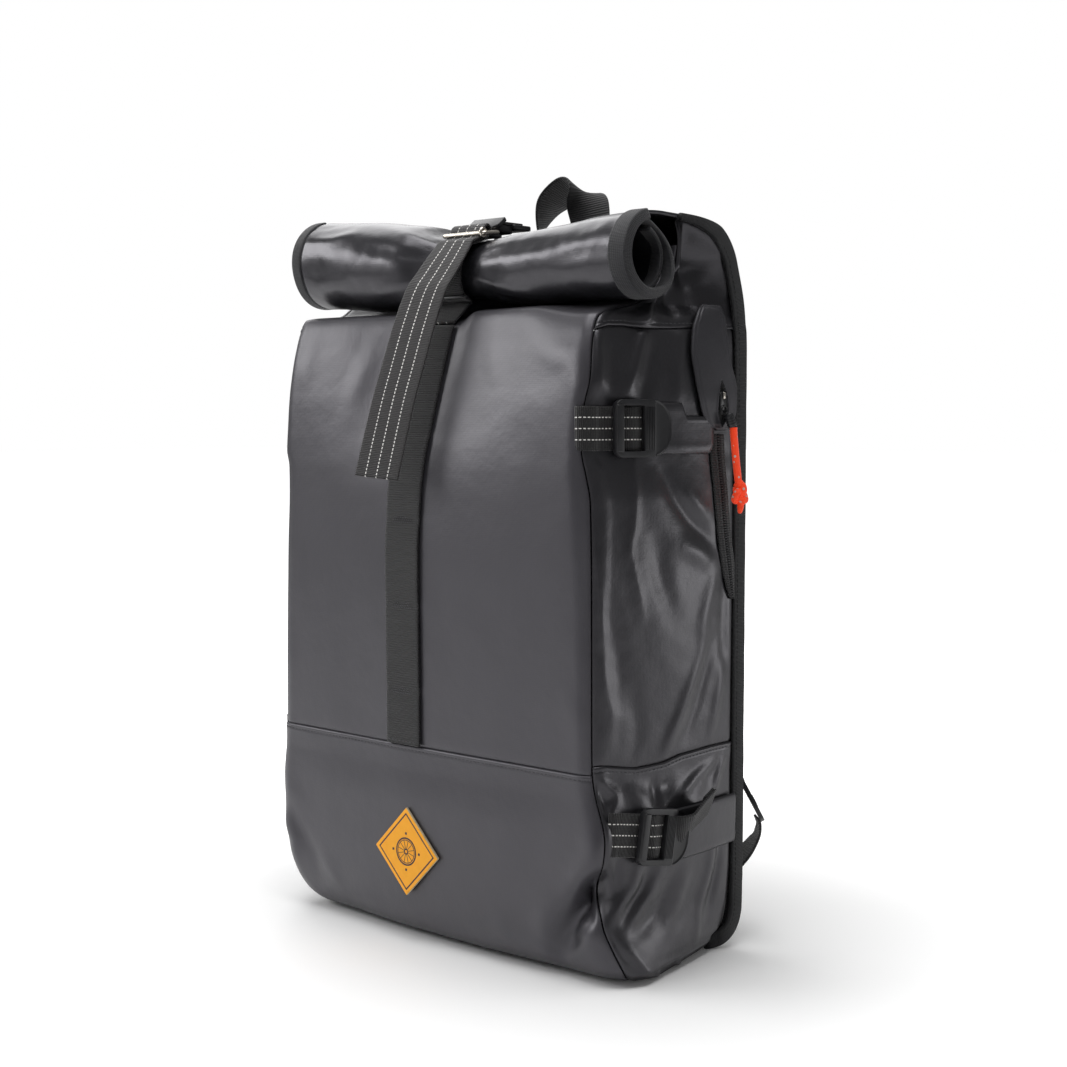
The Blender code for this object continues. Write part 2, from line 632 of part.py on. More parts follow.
def closing_strap():
    """Strap from the daisy chain up the front of the roll to the steel ring, and down again."""
    lift = GAP + 0.6 + WEBBING / 2
    run = []
    point, normal = front_surface(CHAIN_X, CHAIN_TOP_Z + 2.5)
    run.append(point + normal * (lift + 0.6))
    for s in (0.40, 0.35, 0.30, 0.25, 0.20, 0.15, 0.10):
        x = mix(STRAP_TOP_X, CHAIN_X, s / 0.4)
        reach = smooth_row(ROLL, "x", x)
        edges = [roll_point(x + side * STRAP_WIDTH / 2, 2 + s) for side in (-1, 1)]
        middle = roll_point(x, 2 + s)
        outer = max((edge - Vector((edge.x, reach["y"], reach["z"]))).length for edge in edges)
        out = (middle - Vector((x, reach["y"], reach["z"]))).normalized()
        run.append(Vector((x, reach["y"], reach["z"])) + out * (outer + lift))
    ring = Vector((STRAP_TOP_X, RING_Y, RING_Z))
    turn = RING_WIRE + GAP + WEBBING / 2
    for angle in (-50, -10, 30, 75, 115):
        a = math.radians(angle)
        run.append(ring + Vector((0, turn * math.cos(a), turn * math.sin(a))))
    across = [Vector((1, 0, 0))] * len(run)
    for t in spread(0, 1, 10):
        point = curve_point([(r["x"], r["y"], r["z"]) for r in TAIL], t)
        yaw = math.radians(curve_point([(r["yaw"], 0, 0) for r in TAIL], t).x)
        run.append(point)
        across.append(Vector((math.cos(yaw), math.sin(yaw), 0)))
    return sweep("closing_strap", strap_frames(run, across), oblong(STRAP_WIDTH, WEBBING), "webbing")


def diamond_patch():
    """Leather square standing on its point."""
    half = PATCH_SIDE / math.sqrt(2)
    centre_x, centre_z = -10.0, 59.0
    point, normal = front_surface(centre_x, centre_z)
    lean = Vector((0, normal.y, normal.z)).normalized()
    up = Vector((1, 0, 0)).cross(lean) * -1
    middle = point + lean * (GAP + 0.25 + PATCH_THICK / 2)
    corners = [(half, 0), (0, half), (-half, 0), (0, -half)]
    vertices = [middle + Vector((1, 0, 0)) * a + up * b + lean * side * PATCH_THICK / 2
                for side in (-1, 1) for a, b in corners]
    faces = [(3, 2, 1, 0), (4, 5, 6, 7)] + [(j, (j + 1) % 4, 4 + (j + 1) % 4, 4 + j) for j in range(4)]
    return new_object("diamond_patch", vertices, faces, "leather")


def rounded_box(name, size, place, finish, bevel):
    """Box with its edges bevelled, placed by a matrix in millimetres."""
    bpy.ops.mesh.primitive_cube_add(size=1)
    obj = bpy.context.object
    obj.name = obj.data.name = name
    obj.data.transform(Matrix.Diagonal((size[0] * MM, size[1] * MM, size[2] * MM, 1)))
    soften = obj.modifiers.new("soft edges", "BEVEL")
    soften.width = bevel * MM
    soften.segments = 1
    matrix = place.copy()
    matrix.translation = matrix.translation * MM
    obj.matrix_world = matrix
    return dress(obj, finish)


def basis(origin, x_axis, z_axis):
    """Matrix with its origin and two of its axes."""
    y_axis = z_axis.cross(x_axis).normalized()
    rotation = Matrix((x_axis.normalized(), y_axis, x_axis.cross(y_axis).normalized())).transposed()
    return Matrix.Translation(origin) @ rotation.to_4x4()


def steel_ring():
    """Wire ring: its front bar turns the strap, its back bar sits in the hook."""
    half, corner = RING_HALF_LENGTH, RING_CORNER
    lean = RING_LEAN.normalized()
    depth = RING_LEAN.length
    front = Vector((STRAP_TOP_X, RING_Y, RING_Z))
    corners = ((half - corner, corner, -90), (half - corner, depth - corner, 0),
               (-half + corner, depth - corner, 90), (-half + corner, corner, 180))
    frames = []
    for across, along, first in corners:
        for turn in (0, 45, 90):
            a = math.radians(first + turn)
            out = Vector((math.cos(a), 0, 0)) + lean * math.sin(a)
            middle = front + Vector((across, 0, 0)) + lean * along + out * corner
            frames.append((middle, out, Vector((1, 0, 0)).cross(lean)))
    sweep("steel_ring", frames, list(reversed(disc(RING_WIRE, 8))), "steel", closed=True)


def plastic_hook():
    """Hook on the back webbing, with its lever standing up."""
    size = len(HOOK_PROFILE)
    vertices = [(x, y, z) for x in (HOOK_X_LOW, HOOK_X_HIGH) for y, z in HOOK_PROFILE]
    faces = [tuple(range(size)), tuple(range(2 * size - 1, size - 1, -1))]
    faces += [(j, size + j, size + (j + 1) % size, (j + 1) % size) for j in range(size)]
    return new_object("plastic_hook", vertices, faces, "plastic")


def back_anchor():
    """Webbing from the hook over the flap to the foot of the carrying loop."""
    middle = (HOOK_X_LOW + HOOK_X_HIGH) / 2
    xs = [middle - ANCHOR_HALF_WIDTH, middle + ANCHOR_HALF_WIDTH]
    return wall("back_anchor", lambda s, x: roll_surface(x, s), [1.3, 1.38, 1.46, 1.54, 1.62], xs,
                0.5, 0.5 + WEBBING, "webbing")


def strap_keeper():
    """Dark wire bar across the closing strap, just under the roll."""
    x, half = CHAIN_X + 1.5, STRAP_WIDTH / 2 + 2.6
    row = smooth_row(ROLL, "x", x)
    reach = row["radius"] + KEEPER_REACH
    y = row["y"] + reach * math.cos(KEEPER_ANGLE)
    z = row["z"] + reach * math.sin(KEEPER_ANGLE)
    points = [Vector((x + a, y + b, z)) for a, b in ((-half, 2), (-half + 1, 0), (0, 0), (half - 1, 0), (half, 2))]
    return sweep("strap_keeper", strap_frames(points, (0, 0, 1)), disc(KEEPER_RADIUS, 8), "plastic")


def carrying_loop():
    points = smooth_path([(r["x"], r["y"], r["z"]) for r in HANDLE], HANDLE_STEPS)
    across = smooth_path([(r["across_x"], r["across_y"], r["across_z"]) for r in HANDLE], HANDLE_STEPS)
    return sweep("carrying_loop", strap_frames(points, across), oblong(HANDLE_WIDTH, WEBBING), "webbing")


# Side straps, on both sides

def strap_middle(strap, y):
    """Height of a side strap's middle line, level behind its lock."""
    return strap["lock_z"] + min(y - strap["lock_y"], 12.0) * strap["rise"]


def side_strip(name, hand, strap, ys, low, high, lift, thick, finish):
    """Strip on a side through the depths ys, low and high from its middle line."""
    if hand < 0:
        ys = list(reversed(ys))

    def surface(y, height):
        return side_surface(hand, y, strap_middle(strap, y) + height)
    return wall(name, surface, ys, [low, 0, high], lift, lift + thick, finish)


def lock_outline():
    """Ladder-lock outline: square corners in front, a round lever behind."""
    half, length, corner = LOCK_HEIGHT / 2, LOCK_LENGTH / 2, 4.0
    points = []
    for sign, order in ((1, (2, 1, 0)), (-1, (0, 1, 2))):
        for n in order:
            a = math.radians(90 * n / 2)
            points.append((-length + corner - corner * math.cos(a), sign * (half - corner + corner * math.sin(a))))
    shoulder = 4.0
    for n in range(9):
        a = math.radians(22.5 * n - 90)
        points.append((shoulder + (length - shoulder) * math.cos(a), half * math.sin(a)))
    return points


def ladder_lock(name, place, scale=1.0, stretch=1.0):
    """Plastic ladder lock: a frame with a window that shows the webbing, and a lever plate."""
    outline = lock_outline()
    size = len(outline)
    low, high = -LOCK_THICK / 2, LOCK_THICK / 2
    window_low = -LOCK_LENGTH / 2 + LOCK_BAR
    window_high = window_low + LOCK_WINDOW
    tall = LOCK_HEIGHT / 2 - LOCK_RAIL
    hole = [(window_low, -tall), (window_high, -tall), (window_high, tall), (window_low, tall)]
    vertices = [(x, y, z) for z in (low, high) for x, y in outline + hole]
    step = size + 4
    faces = []
    for j in range(size):
        n = (j + 1) % size
        faces.append((j, n, step + n, step + j))
    for j in range(4):
        n = (j + 1) % 4
        faces.append((size + n, size + j, step + size + j, step + size + n))
    ring = link_rings(outline, hole)
    for face in ring:
        faces.append(tuple(reversed(face)))
        faces.append(tuple(step + k for k in face))
    vertices = [place @ Vector((x * stretch * scale, y * scale, z * scale)) for x, y, z in vertices]
    obj = new_object(name, vertices, faces, "plastic")
    return obj


def link_rings(outline, hole):
    """Triangles between an outline and the four corners of its hole, by the nearest corner."""
    size = len(outline)

    def nearest(j):
        return min(range(4), key=lambda k: (Vector(outline[j]) - Vector(hole[k])).length)
    faces = []
    for j in range(size):
        n = (j + 1) % size
        a, b = nearest(j), nearest(n)
        faces.append((j, n, size + a) if a == b else (j, n, size + b, size + a))
    return faces


def side_straps():
    for hand, side in ((1, "right"), (-1, "left")):
        for level, strap in (("upper", UPPER_STRAP), ("lower", LOWER_STRAP)):
            name = level + "_" + side
            half = SIDE_STRAP_WIDTH / 2
            start = smooth_row(BODY, "z", strap["lock_z"])["corner_y"] + SIDE_STRAP_START
            lock_y = strap["lock_y"]
            ys = [start, start + 1.5, start + 4, start + 7.5] + spread(start + 12, lock_y + 5, 5)
            side_strip("strap_" + name, hand, strap, ys, -half, half, STRAP_LIFT, WEBBING, "webbing")
            ys = spread(lock_y + 6, strap["wing_end"], 5)
            side_strip("wing_" + name, hand, strap, ys, -half - 2, half + 2, STRAP_LIFT, WING_THICK,
                       "side_tarpaulin")
            point, normal = side_surface(hand, lock_y, strap["lock_z"])
            back, _ = side_surface(hand, lock_y + 12, strap_middle(strap, lock_y + 12))
            front, _ = side_surface(hand, lock_y - 12, strap_middle(strap, lock_y - 12))
            along = (back - front).normalized()
            out = (normal - along * normal.dot(along)).normalized()
            middle = point + out * (STRAP_LIFT + WEBBING + 0.7 + LOCK_THICK / 2)
            ladder_lock("lock_" + name, basis(middle, along, out))


# Zip, its cover and the pull

def zip_tape():
    def surface(side, z):
        front = smooth_row(ZIP, "z", z)["front_y"]
        return side_surface(1, mix(front, min(front + ZIP_WIDTH, ZIP_REAR_Y), side), z)
    return wall("zip_tape", surface, [0, 1], [222, 232, 250, 265, 280, 300, 325], 0.35, 1.55, "webbing")


def zip_cover():
    """Welded cover that hides the zip's end, with a slit for the slider."""
    def surface(side, z):
        row = smooth_row(COVER, "z", z)
        return side_surface(1, mix(row["front_y"], row["rear_y"], side), z)
    return wall("zip_cover", surface, [0, 0.35, 0.7, 1], [r["z"] for r in COVER], COVER_LIFT,
                COVER_LIFT + COVER_THICK, "side_tarpaulin")


def zip_pull():
    y, z = SLIDER_MIDDLE
    point, normal = side_surface(1, y, z)
    place = basis(point + normal * (COVER_LIFT + COVER_THICK + GAP + SLIDER_SIZE[0] / 2), Vector((0, 1, 0)), normal)
    rounded_box("zip_slider", (SLIDER_SIZE[1], SLIDER_SIZE[2], SLIDER_SIZE[0]), place, "steel", 0.8)
    frames = strap_frames([Vector(p) for p in SLEEVE_POINTS], (1, 0, 0))
    sweep("pull_sleeve", frames, disc(SLEEVE_RADIUS, 8), "plastic")
    pull_cord()
    rings = []
    for y, z, radius in KNOT_ROWS:
        rings.append((Vector((KNOT_X, y, z)), Vector((1, 0, 0)) * radius, Vector((0, 1, 0)) * radius))
    sweep("pull_knot", rings, list(reversed(disc(1, 10))), "cord")


def pull_cord():
    curve = bpy.data.curves.new("pull_cord", "CURVE")
    curve.dimensions = "3D"
    curve.bevel_depth = PULL_CORD_DIAMETER / 2 * MM
    curve.bevel_resolution = 2
    curve.use_fill_caps = True
    points = PULL_CORD_POINTS
    line = curve.splines.new("POLY")
    line.points.add(len(points) - 1)
    for target, point in zip(line.points, points):
        target.co = (*(Vector(point) * MM), 1)
    obj = bpy.data.objects.new("pull_cord", curve)
    bpy.context.collection.objects.link(obj)
    return dress(obj, "cord")


# Shoulder straps

def shoulder_straps():
    for hand, side in ((1, "right"), (-1, "left")):
        def mirror(point):
            return Vector((hand * point[0], point[1], point[2]))

        def across(angle):
            turn = math.radians(angle)
            return Vector((math.cos(turn), -hand * 0.12 * math.sin(turn), hand * math.sin(turn)))

        path = [mirror(p) for p in smooth_path(PAD_ROWS, 14)]
        widths = [across(PAD_TURN * t) for t in spread(0, 1, 14)]
        sweep("shoulder_pad_" + side, strap_frames(path, widths), cushion(PAD_WIDTH, PAD_THICK), "mesh_pad")
        turned = mirror(LOWER_LOCK_ACROSS) * hand
        path = [mirror(p) for p in smooth_path(TAB_ROWS, 8)]
        widths = [across(PAD_TURN).lerp(turned, min(1.3 * t, 1)) for t in spread(0, 1, 8)]
        strip = oblong(LOWER_WEB_WIDTH, WEBBING)
        sweep("shoulder_tab_" + side, strap_frames(path, widths), strip, "webbing")
        path = [mirror(p) for p in smooth_path(WEB_ROWS, 10)]
        widths = [turned.lerp(mirror((1, 0, 0)) * hand, min(max(1.6 * t - 0.3, 0), 1)) for t in spread(0, 1, 10)]
        sweep("shoulder_web_" + side, strap_frames(path, widths), strip, "webbing")
        along = mirror(Vector(WEB_ROWS[0]) - Vector(TAB_ROWS[-1])).normalized()
        out = along.cross(turned).normalized()
        out = out if out.y > 0 else -out
        middle = mirror((Vector(TAB_ROWS[-1]) + Vector(WEB_ROWS[0])) / 2) + out * LOWER_LOCK_LIFT
        place = basis(middle, along, out)
        ladder_lock("shoulder_lock_" + side, place, LOWER_LOCK_SCALE, LOWER_LOCK_STRETCH)


def main():
    clear_scene()
    body_panels()
    base_plate()
    back_panel()
    rolled_top()
    roll_binding("right", ROLL[-1]["x"], ROLL_RIGHT + GAP)
    roll_binding("left", ROLL[0]["x"], ROLL_LEFT - GAP)
    edge_binding("right", 1)
    edge_binding("left", -1)
    chain_webbing()
    closing_strap()
    steel_ring()
    plastic_hook()
    back_anchor()
    strap_keeper()
    carrying_loop()
    diamond_patch()
    side_straps()
    zip_tape()
    zip_cover()
    zip_pull()
    shoulder_straps()


main()
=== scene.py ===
"""Looks of a cyclist's roll-top backpack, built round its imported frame.

Sizes and tables are in millimetres; every mesh is made in metres, in the frame's own axes:
X to the right as one faces the front, Y from the front to the wearer's back, Z up.
"""

import math
from functools import partial

import bmesh
import bpy
import numpy as np
from mathutils import Matrix, Vector


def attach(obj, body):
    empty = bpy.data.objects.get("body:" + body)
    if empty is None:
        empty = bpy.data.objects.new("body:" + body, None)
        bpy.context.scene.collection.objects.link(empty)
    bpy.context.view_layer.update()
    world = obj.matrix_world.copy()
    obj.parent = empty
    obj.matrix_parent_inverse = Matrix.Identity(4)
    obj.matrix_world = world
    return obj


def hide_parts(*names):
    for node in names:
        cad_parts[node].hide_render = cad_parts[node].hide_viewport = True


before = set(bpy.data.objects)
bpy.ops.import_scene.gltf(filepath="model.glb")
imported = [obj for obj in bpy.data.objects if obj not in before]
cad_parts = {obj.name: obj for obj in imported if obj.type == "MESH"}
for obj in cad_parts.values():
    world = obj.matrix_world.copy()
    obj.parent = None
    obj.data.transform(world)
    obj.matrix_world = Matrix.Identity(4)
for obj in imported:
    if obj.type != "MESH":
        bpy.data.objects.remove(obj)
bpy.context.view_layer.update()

MM = 0.001
TAU = 2 * math.pi

# Sizes shared with the solids
GAP = 0.3
WEBBING = 1.6
DASHES, DASH_HALF_WIDTH = (2.4, 1.45), 0.33
STRAP_WIDTH = 30.0
SIDE_STRAP_WIDTH = 26.0
FRONT_SEAM_Z, SIDE_SEAM_Z, COLLAR_SEAM_Z = 125.5, 130.5, 388.0
GUSSET_TOP_Z = 449.0
BACK_HALF_WIDTH = 147.8
BINDING_WIDTH, BINDING_THICK = 11.7, 3.0

BODY_COLUMNS = ("z", "mid_y", "corner_y", "left_x", "right_x", "back_x", "back_y", "swell", "round")
BODY_ROWS = (
    (0, -44, -38, -118, 150, 138, 44.5, 0, 24),
    (5, -54, -49, -130, 155, 144, 44.8, 0, 22),
    (11, -59, -54, -135.5, 156, 147, 45.2, 0.5, 20.5),
    (14, -60.5, -55.5, -137, 155.5, 147.5, 51.8, 0.8, 20),
    (22, -63.5, -58.5, -140, 153, 148.5, 56.2, 1.2, 18.5),
    (38, -66, -62, -143, 147.5, 149.2, 59.2, 2, 17),
    (58, -67, -63.5, -144.2, 146, 149.7, 60, 4, 16),
    (88, -67, -64, -145, 146, 150, 60, 5, 15),
    (126, -64, -62.5, -142, 139, 150, 60, 3, 13),
    (245, -65, -62.5, -141.6, 138.5, 150.5, 60, 4, 16),
    (285, -62.5, -62.3, -141.2, 137.5, 150.5, 60, 4, 18),
    (302, -60, -62, -141, 133.5, 150.5, 60, 4, 17),
    (313, -57.5, -61.3, -141, 129.8, 150, 60, 5, 12.5),
    (328, -53, -60, -141, 128.5, 150, 60, 5, 12),
    (343, -48.5, -58.2, -141.5, 129.2, 150, 60, 5, 11.5),
    (356, -44.5, -55.8, -142, 131, 150, 60, 3, 11),
    (378, -37.5, -50, -142, 128, 150, 59.2, 0, 10),
    (394, -31, -42, -142, 126, 149.5, 57.6, -3, 11),
    (398, -22, -33, -142, 126, 149, 57.2, -4, 10.5),
    (400.5, -11, -20, -142, 126.5, 149, 56.7, -5, 9),
    (403, -1, -8, -142, 127, 149, 56.2, -6, 7),
    (409, 8, 2, -142, 128, 148.5, 54.7, -8, 6),
    (417, 14.5, 12, -142, 131, 148.5, 51.8, -11, 5),
    (430, 19.5, 19, -143, 135, 148, 46.4, -13, 4.5),
    (450, 20, 18.5, -145, 138, 148, 24.5, -3, 3.5),
)
SPINE = ((48, 0), (57, 2.5), (64.5, 10), (69.5, 23), (71.6, 40), (72, 60),
         (72.0, 150.0), (72.0, 260.0), (72.0, 373.0), (70.5, 393.0), (67.0, 412.0), (61.0, 430.0))
FLAP_START = 9
BASE_PINCH, BASE_PINCH_ROWS = 0.075, 3

ROLL_COLUMNS = ("x", "y", "z", "radius")
ROLL_ROWS = (
    (-148, -14, 439.5, 30.5),
    (-100, -13.5, 435.5, 30),
    (-55, -13, 431.5, 27.5),
    (-32, -11, 429.5, 22.5),
    (-20, -9, 428.8, 19.5),
    (-5, -8, 428.5, 18.5),
    (10, -8.5, 428, 19.5),
    (21, -10, 427.5, 21),
    (40, -11.5, 427, 23),
    (95, -12, 428.5, 25),
    (142, -12, 430, 27),
)
ROLL_TURNS, ROLL_PITCH = 1.9, 3.2
FLAP_JOIN_ANGLE = math.radians(100)
FLAP_REACH = 92.0
FLAP_NARROWS = (1.3, 1.7)
ROLL_LEFT, ROLL_RIGHT = -148.0 + 9.3, 142.0 - 9.3

CHAIN_X, STRAP_TOP_X, CHAIN_TOP_Z, CHAIN_LIFT = -15.5, -6.0, 391.0, 0.7
RING_Y, RING_Z, RING_WIRE = -20.0, 451.5, 1.4
# Free end of the closing strap: X, Y, Z and how far its face is turned, in degrees
TAIL_ROWS = (
    (-6.2, -25.8, 446.9, 2),
    (-7.5, -32.5, 437.5, 7),
    (-10, -41, 425, 11),
    (-11.5, -48.4, 414, 14),
    (-13, -57.8, 391, 17),
    (-14, -66.5, 366, 18),
    (-15, -73.5, 345, 19),
    (-15.5, -81, 320, 21),
    (-15.5, -88, 297, 22),
)


# Curves and surfaces

def mix(a, b, t):
    return a + (b - a) * t


def smoothstep(t):
    t = np.clip(t, 0.0, 1.0)
    return t * t * (3 - 2 * t)


def smooth_table(names, rows, step):
    """Columns of a table as smooth curves that never overshoot, sampled every step."""
    table = np.array(rows, float)
    key = table[:, 0]
    fine = np.arange(key[0], key[-1] + step / 2, step)
    i = np.clip(np.searchsorted(key, fine, side="right") - 1, 0, len(key) - 2)
    gap = key[i + 1] - key[i]
    t = (fine - key[i]) / gap
    columns = {names[0]: fine}
    for n, name in enumerate(names[1:], 1):
        value = table[:, n]
        rise = np.diff(value) / np.diff(key)
        slope = np.concatenate((rise[:1], np.zeros(len(rise) - 1), rise[-1:]))
        for k in range(1, len(rise)):
            if rise[k - 1] * rise[k] > 0:
                slope[k] = 2 * rise[k - 1] * rise[k] / (rise[k - 1] + rise[k])
        columns[name] = (value[i] * (1 + 2 * t) * (1 - t) ** 2 + slope[i] * gap * t * (1 - t) ** 2
                         + value[i + 1] * t * t * (3 - 2 * t) - slope[i + 1] * gap * t * t * (1 - t))
    return columns


BODY = smooth_table(BODY_COLUMNS, BODY_ROWS, 0.25)
ROLL = smooth_table(ROLL_COLUMNS, ROLL_ROWS, 0.5)


def body_column(name, z):
    return np.interp(z, BODY["z"], BODY[name])


def roll_column(name, x):
    return np.interp(x, ROLL["x"], ROLL[name])


def smooth_curve(points, at):
    """Places on a smooth curve through points, at row numbers that may lie between them."""
    p = np.array([points[0], *points, points[-1]], float)
    i = np.clip(at.astype(int), 0, len(points) - 2)
    f = (at - i)[..., None]
    a, b, c, d = p[i], p[i + 1], p[i + 2], p[i + 3]
    return 0.5 * (2 * b + (c - a) * f + (2 * a - 5 * b + 4 * c - d) * f ** 2
                  + (3 * b - a - 3 * c + d) * f ** 3)


def smooth_path(points, count):
    """Evenly numbered points on a smooth curve through points, as an array."""
    return smooth_curve(points, np.linspace(0, len(points) - 1, count))


def even_path(points, step, samples=400):
    """The same curve with its points an even step apart."""
    return resample(smooth_path(points, samples), step)


def length_along(points):
    """How far along a row of points each one lies."""
    return np.concatenate(([0.0], np.cumsum(np.linalg.norm(np.diff(points, axis=0), axis=1))))


def resample(fine, step):
    """Points an even step apart along a row of close ones."""
    far = length_along(fine)
    count = max(int(round(far[-1] / step)), 2)
    at = np.linspace(0, far[-1], count + 1)
    return np.stack([np.interp(at, far, fine[:, k]) for k in range(fine.shape[1])], axis=1)


def unit(v):
    return v / np.maximum(np.linalg.norm(v, axis=-1, keepdims=True), 1e-9)


def grid_normals(points):
    """Normals of a grid of points, on the side that its faces look to."""
    return unit(np.cross(np.gradient(points, axis=1), np.gradient(points, axis=0)))


def skin(w, z):
    """Points of the bag's skin; w runs round it from the left side's back, as in the solids."""
    w, z = np.broadcast_arrays(np.asarray(w, float), np.asarray(z, float))
    column = {name: body_column(name, z) for name in BODY_COLUMNS[1:]}
    r = column["round"]
    side_y = column["corner_y"] + r
    x, y = np.zeros(w.shape), np.zeros(w.shape)
    for hand, side, front_x, t in ((-1, w < 1, column["left_x"], 1 - w),
                                   (1, w > 4, column["right_x"], w - 4)):
        bulge = hand * column["swell"] * np.sin(math.pi * np.clip(t, 0, 1))
        x = np.where(side, mix(front_x, hand * column["back_x"], t) + bulge, x)
        y = np.where(side, mix(side_y, column["back_y"], t), y)
    front = (w >= 2) & (w <= 3)
    t = 2 * (w - 2) - 1
    bow = (column["mid_y"] - column["corner_y"]) * (1 - np.clip(t * t, 0, 1)) ** 2
    x = np.where(front, mix(column["left_x"] + r, column["right_x"] - r, w - 2), x)
    y = np.where(front, column["corner_y"] + bow, y)
    for hand, corner, middle_x, turn in ((-1, (w >= 1) & (w < 2), column["left_x"] + r, 2 - w),
                                         (1, (w > 3) & (w <= 4), column["right_x"] - r, w - 3)):
        angle = np.clip(turn, 0, 1) * math.pi / 2
        x = np.where(corner, middle_x + hand * r * np.sin(angle), x)
        y = np.where(corner, side_y - r * np.cos(angle), y)
    return np.stack((x, y, z), axis=-1)


def skin_normals(w, z):
    step_w, step_z = 0.02, 0.5
    along = skin(np.minimum(w + step_w, 5), z) - skin(np.maximum(w - step_w, 0), z)
    up = skin(w, z + step_z) - skin(w, np.maximum(z - step_z, 0))
    return unit(np.cross(along, up))


def side_place(hand, y, z):
    """The skin's w at a depth y on a side."""
    y, z = np.broadcast_arrays(np.asarray(y, float), np.asarray(z, float))
    side_y = body_column("corner_y", z) + body_column("round", z)
    t = (y - side_y) / (body_column("back_y", z) - side_y)
    turn = np.arccos(np.clip((side_y - y) / body_column("round", z), 0, 1)) / (math.pi / 2)
    w = np.where(t >= 0, 4 + np.minimum(t, 1), 3 + turn)
    return w if hand > 0 else 5 - w


def front_place(x, z):
    x, z = np.broadcast_arrays(np.asarray(x, float), np.asarray(z, float))
    low = body_column("left_x", z) + body_column("round", z)
    high = body_column("right_x", z) - body_column("round", z)
    return 2 + np.clip((x - low) / (high - low), 0, 1)


def spine_points(t):
    """Depth and height of the back's outer line at row number t of SPINE."""
    return smooth_curve(SPINE, np.asarray(t, float))


def roll_points(x, s):
    """Flap and roll: s from 0 to 1 along the back edge, to 2 over the top, then round the roll."""
    x, s = np.broadcast_arrays(np.asarray(x, float), np.asarray(s, float))
    last = len(SPINE) - 1
    rise = spine_points(mix(FLAP_START, last, np.clip(s, 0, 1)))
    turn = np.maximum(s - 2, 0)
    angle = FLAP_JOIN_ANGLE + TAU * turn
    reach = roll_column("radius", x) - ROLL_PITCH * turn
    roll_y = roll_column("y", x) + reach * np.cos(angle)
    roll_z = roll_column("z", x) + reach * np.sin(angle)
    start = spine_points(np.array(float(last)))
    leave = unit(start - spine_points(np.array(last - 0.1))) * FLAP_REACH
    t = np.clip(s - 1, 0, 1)
    arrive_y, arrive_z = -math.sin(FLAP_JOIN_ANGLE) * FLAP_REACH, math.cos(FLAP_JOIN_ANGLE) * FLAP_REACH
    a, b = (1 + 2 * t) * (1 - t) ** 2, t * (1 - t) ** 2
    c, d = t * t * (3 - 2 * t), t * t * (1 - t)
    over_y = start[0] * a + leave[0] * b + roll_y * c - arrive_y * d
    over_z = start[1] * a + leave[1] * b + roll_z * c - arrive_z * d
    y = np.where(s <= 1, rise[..., 0], np.where(s < 2, over_y, roll_y))
    z = np.where(s <= 1, rise[..., 1], np.where(s < 2, over_z, roll_z))
    return np.stack((x, y, z), axis=-1)


def flap_edge(hand, s):
    end = ROLL_RIGHT if hand > 0 else ROLL_LEFT
    first, last = FLAP_NARROWS
    return mix(hand * BACK_HALF_WIDTH, end, smoothstep((np.asarray(s, float) - first) / (last - first)))


# Folds of cloth

def line_distance(a, b, points):
    """Distance of surface places (a, b) from a bent line, and how far along it they lie, 0 to 1."""
    nearest = np.full(a.shape, 1e9)
    share = np.zeros(a.shape)
    lengths = [math.dist(p, q) for p, q in zip(points[:-1], points[1:])]
    done = 0.0
    for (pa, pb), (qa, qb), length in zip(points[:-1], points[1:], lengths):
        da, db = (qa - pa) / length, (qb - pb) / length
        t = np.clip((a - pa) * da + (b - pb) * db, 0, length)
        far = np.hypot(a - pa - da * t, b - pb - db * t)
        closer = far < nearest
        nearest = np.where(closer, far, nearest)
        share = np.where(closer, (done + t) / sum(lengths), share)
        done += length
    return nearest, share


def folds(a, b, rows):
    """Height of all the folds at surface places (a, b). Each row is a line, a width and a height.

    A fold is a round swell, or a sharp ridge where its row ends in crest.
    """
    height = np.zeros(a.shape)
    for points, width, rise, *shape in rows:
        far, share = line_distance(a, b, points)
        fade = np.sin(math.pi * mix(0.06, 0.94, share)) ** 0.7
        profile = np.exp(-np.sqrt((far / width) ** 2 + 0.02)) if shape else np.exp(-(far / width) ** 2)
        height += rise * profile * fade
    return height


def rumple(a, b, size, seed, stretch=1.0):
    """Smooth unevenness between -1 and 1, from a few waves with fixed phases."""
    chance = np.random.default_rng(seed)
    height = np.zeros(a.shape)
    for _ in range(9):
        angle = chance.uniform(0, TAU)
        wave = TAU / (size * chance.uniform(0.7, 1.8))
        phase = chance.uniform(0, TAU)
        height += np.sin(wave * (a * math.cos(angle) + b * math.sin(angle) * stretch) + phase)
    return height / 4.5


# Materials

def linear(hex_colour):
    """A hex sRGB colour as linear RGBA."""
    values = [int(hex_colour[n:n + 2], 16) / 255 for n in (1, 3, 5)]
    return (*(v / 12.92 if v <= 0.04045 else ((v + 0.055) / 1.055) ** 2.4 for v in values), 1)


def feed(node, sockets):
    """Give sockets a number, a colour, another node's output, or a node for its first output in use."""
    for name, value in sockets.items():
        if isinstance(value, bpy.types.Node):
            value = next(output for output in value.outputs if output.enabled)
        if isinstance(value, bpy.types.NodeSocket):
            node.id_data.links.new(value, node.inputs[name])
        else:
            node.inputs[name].default_value = value


def add_node(tree, kind, sockets=None, **settings):
    """Add a shader node with its own settings and with what feeds its sockets."""
    node = tree.nodes.new("ShaderNode" + kind)
    for name, value in settings.items():
        setattr(node, name, value)
    feed(node, sockets or {})
    return node


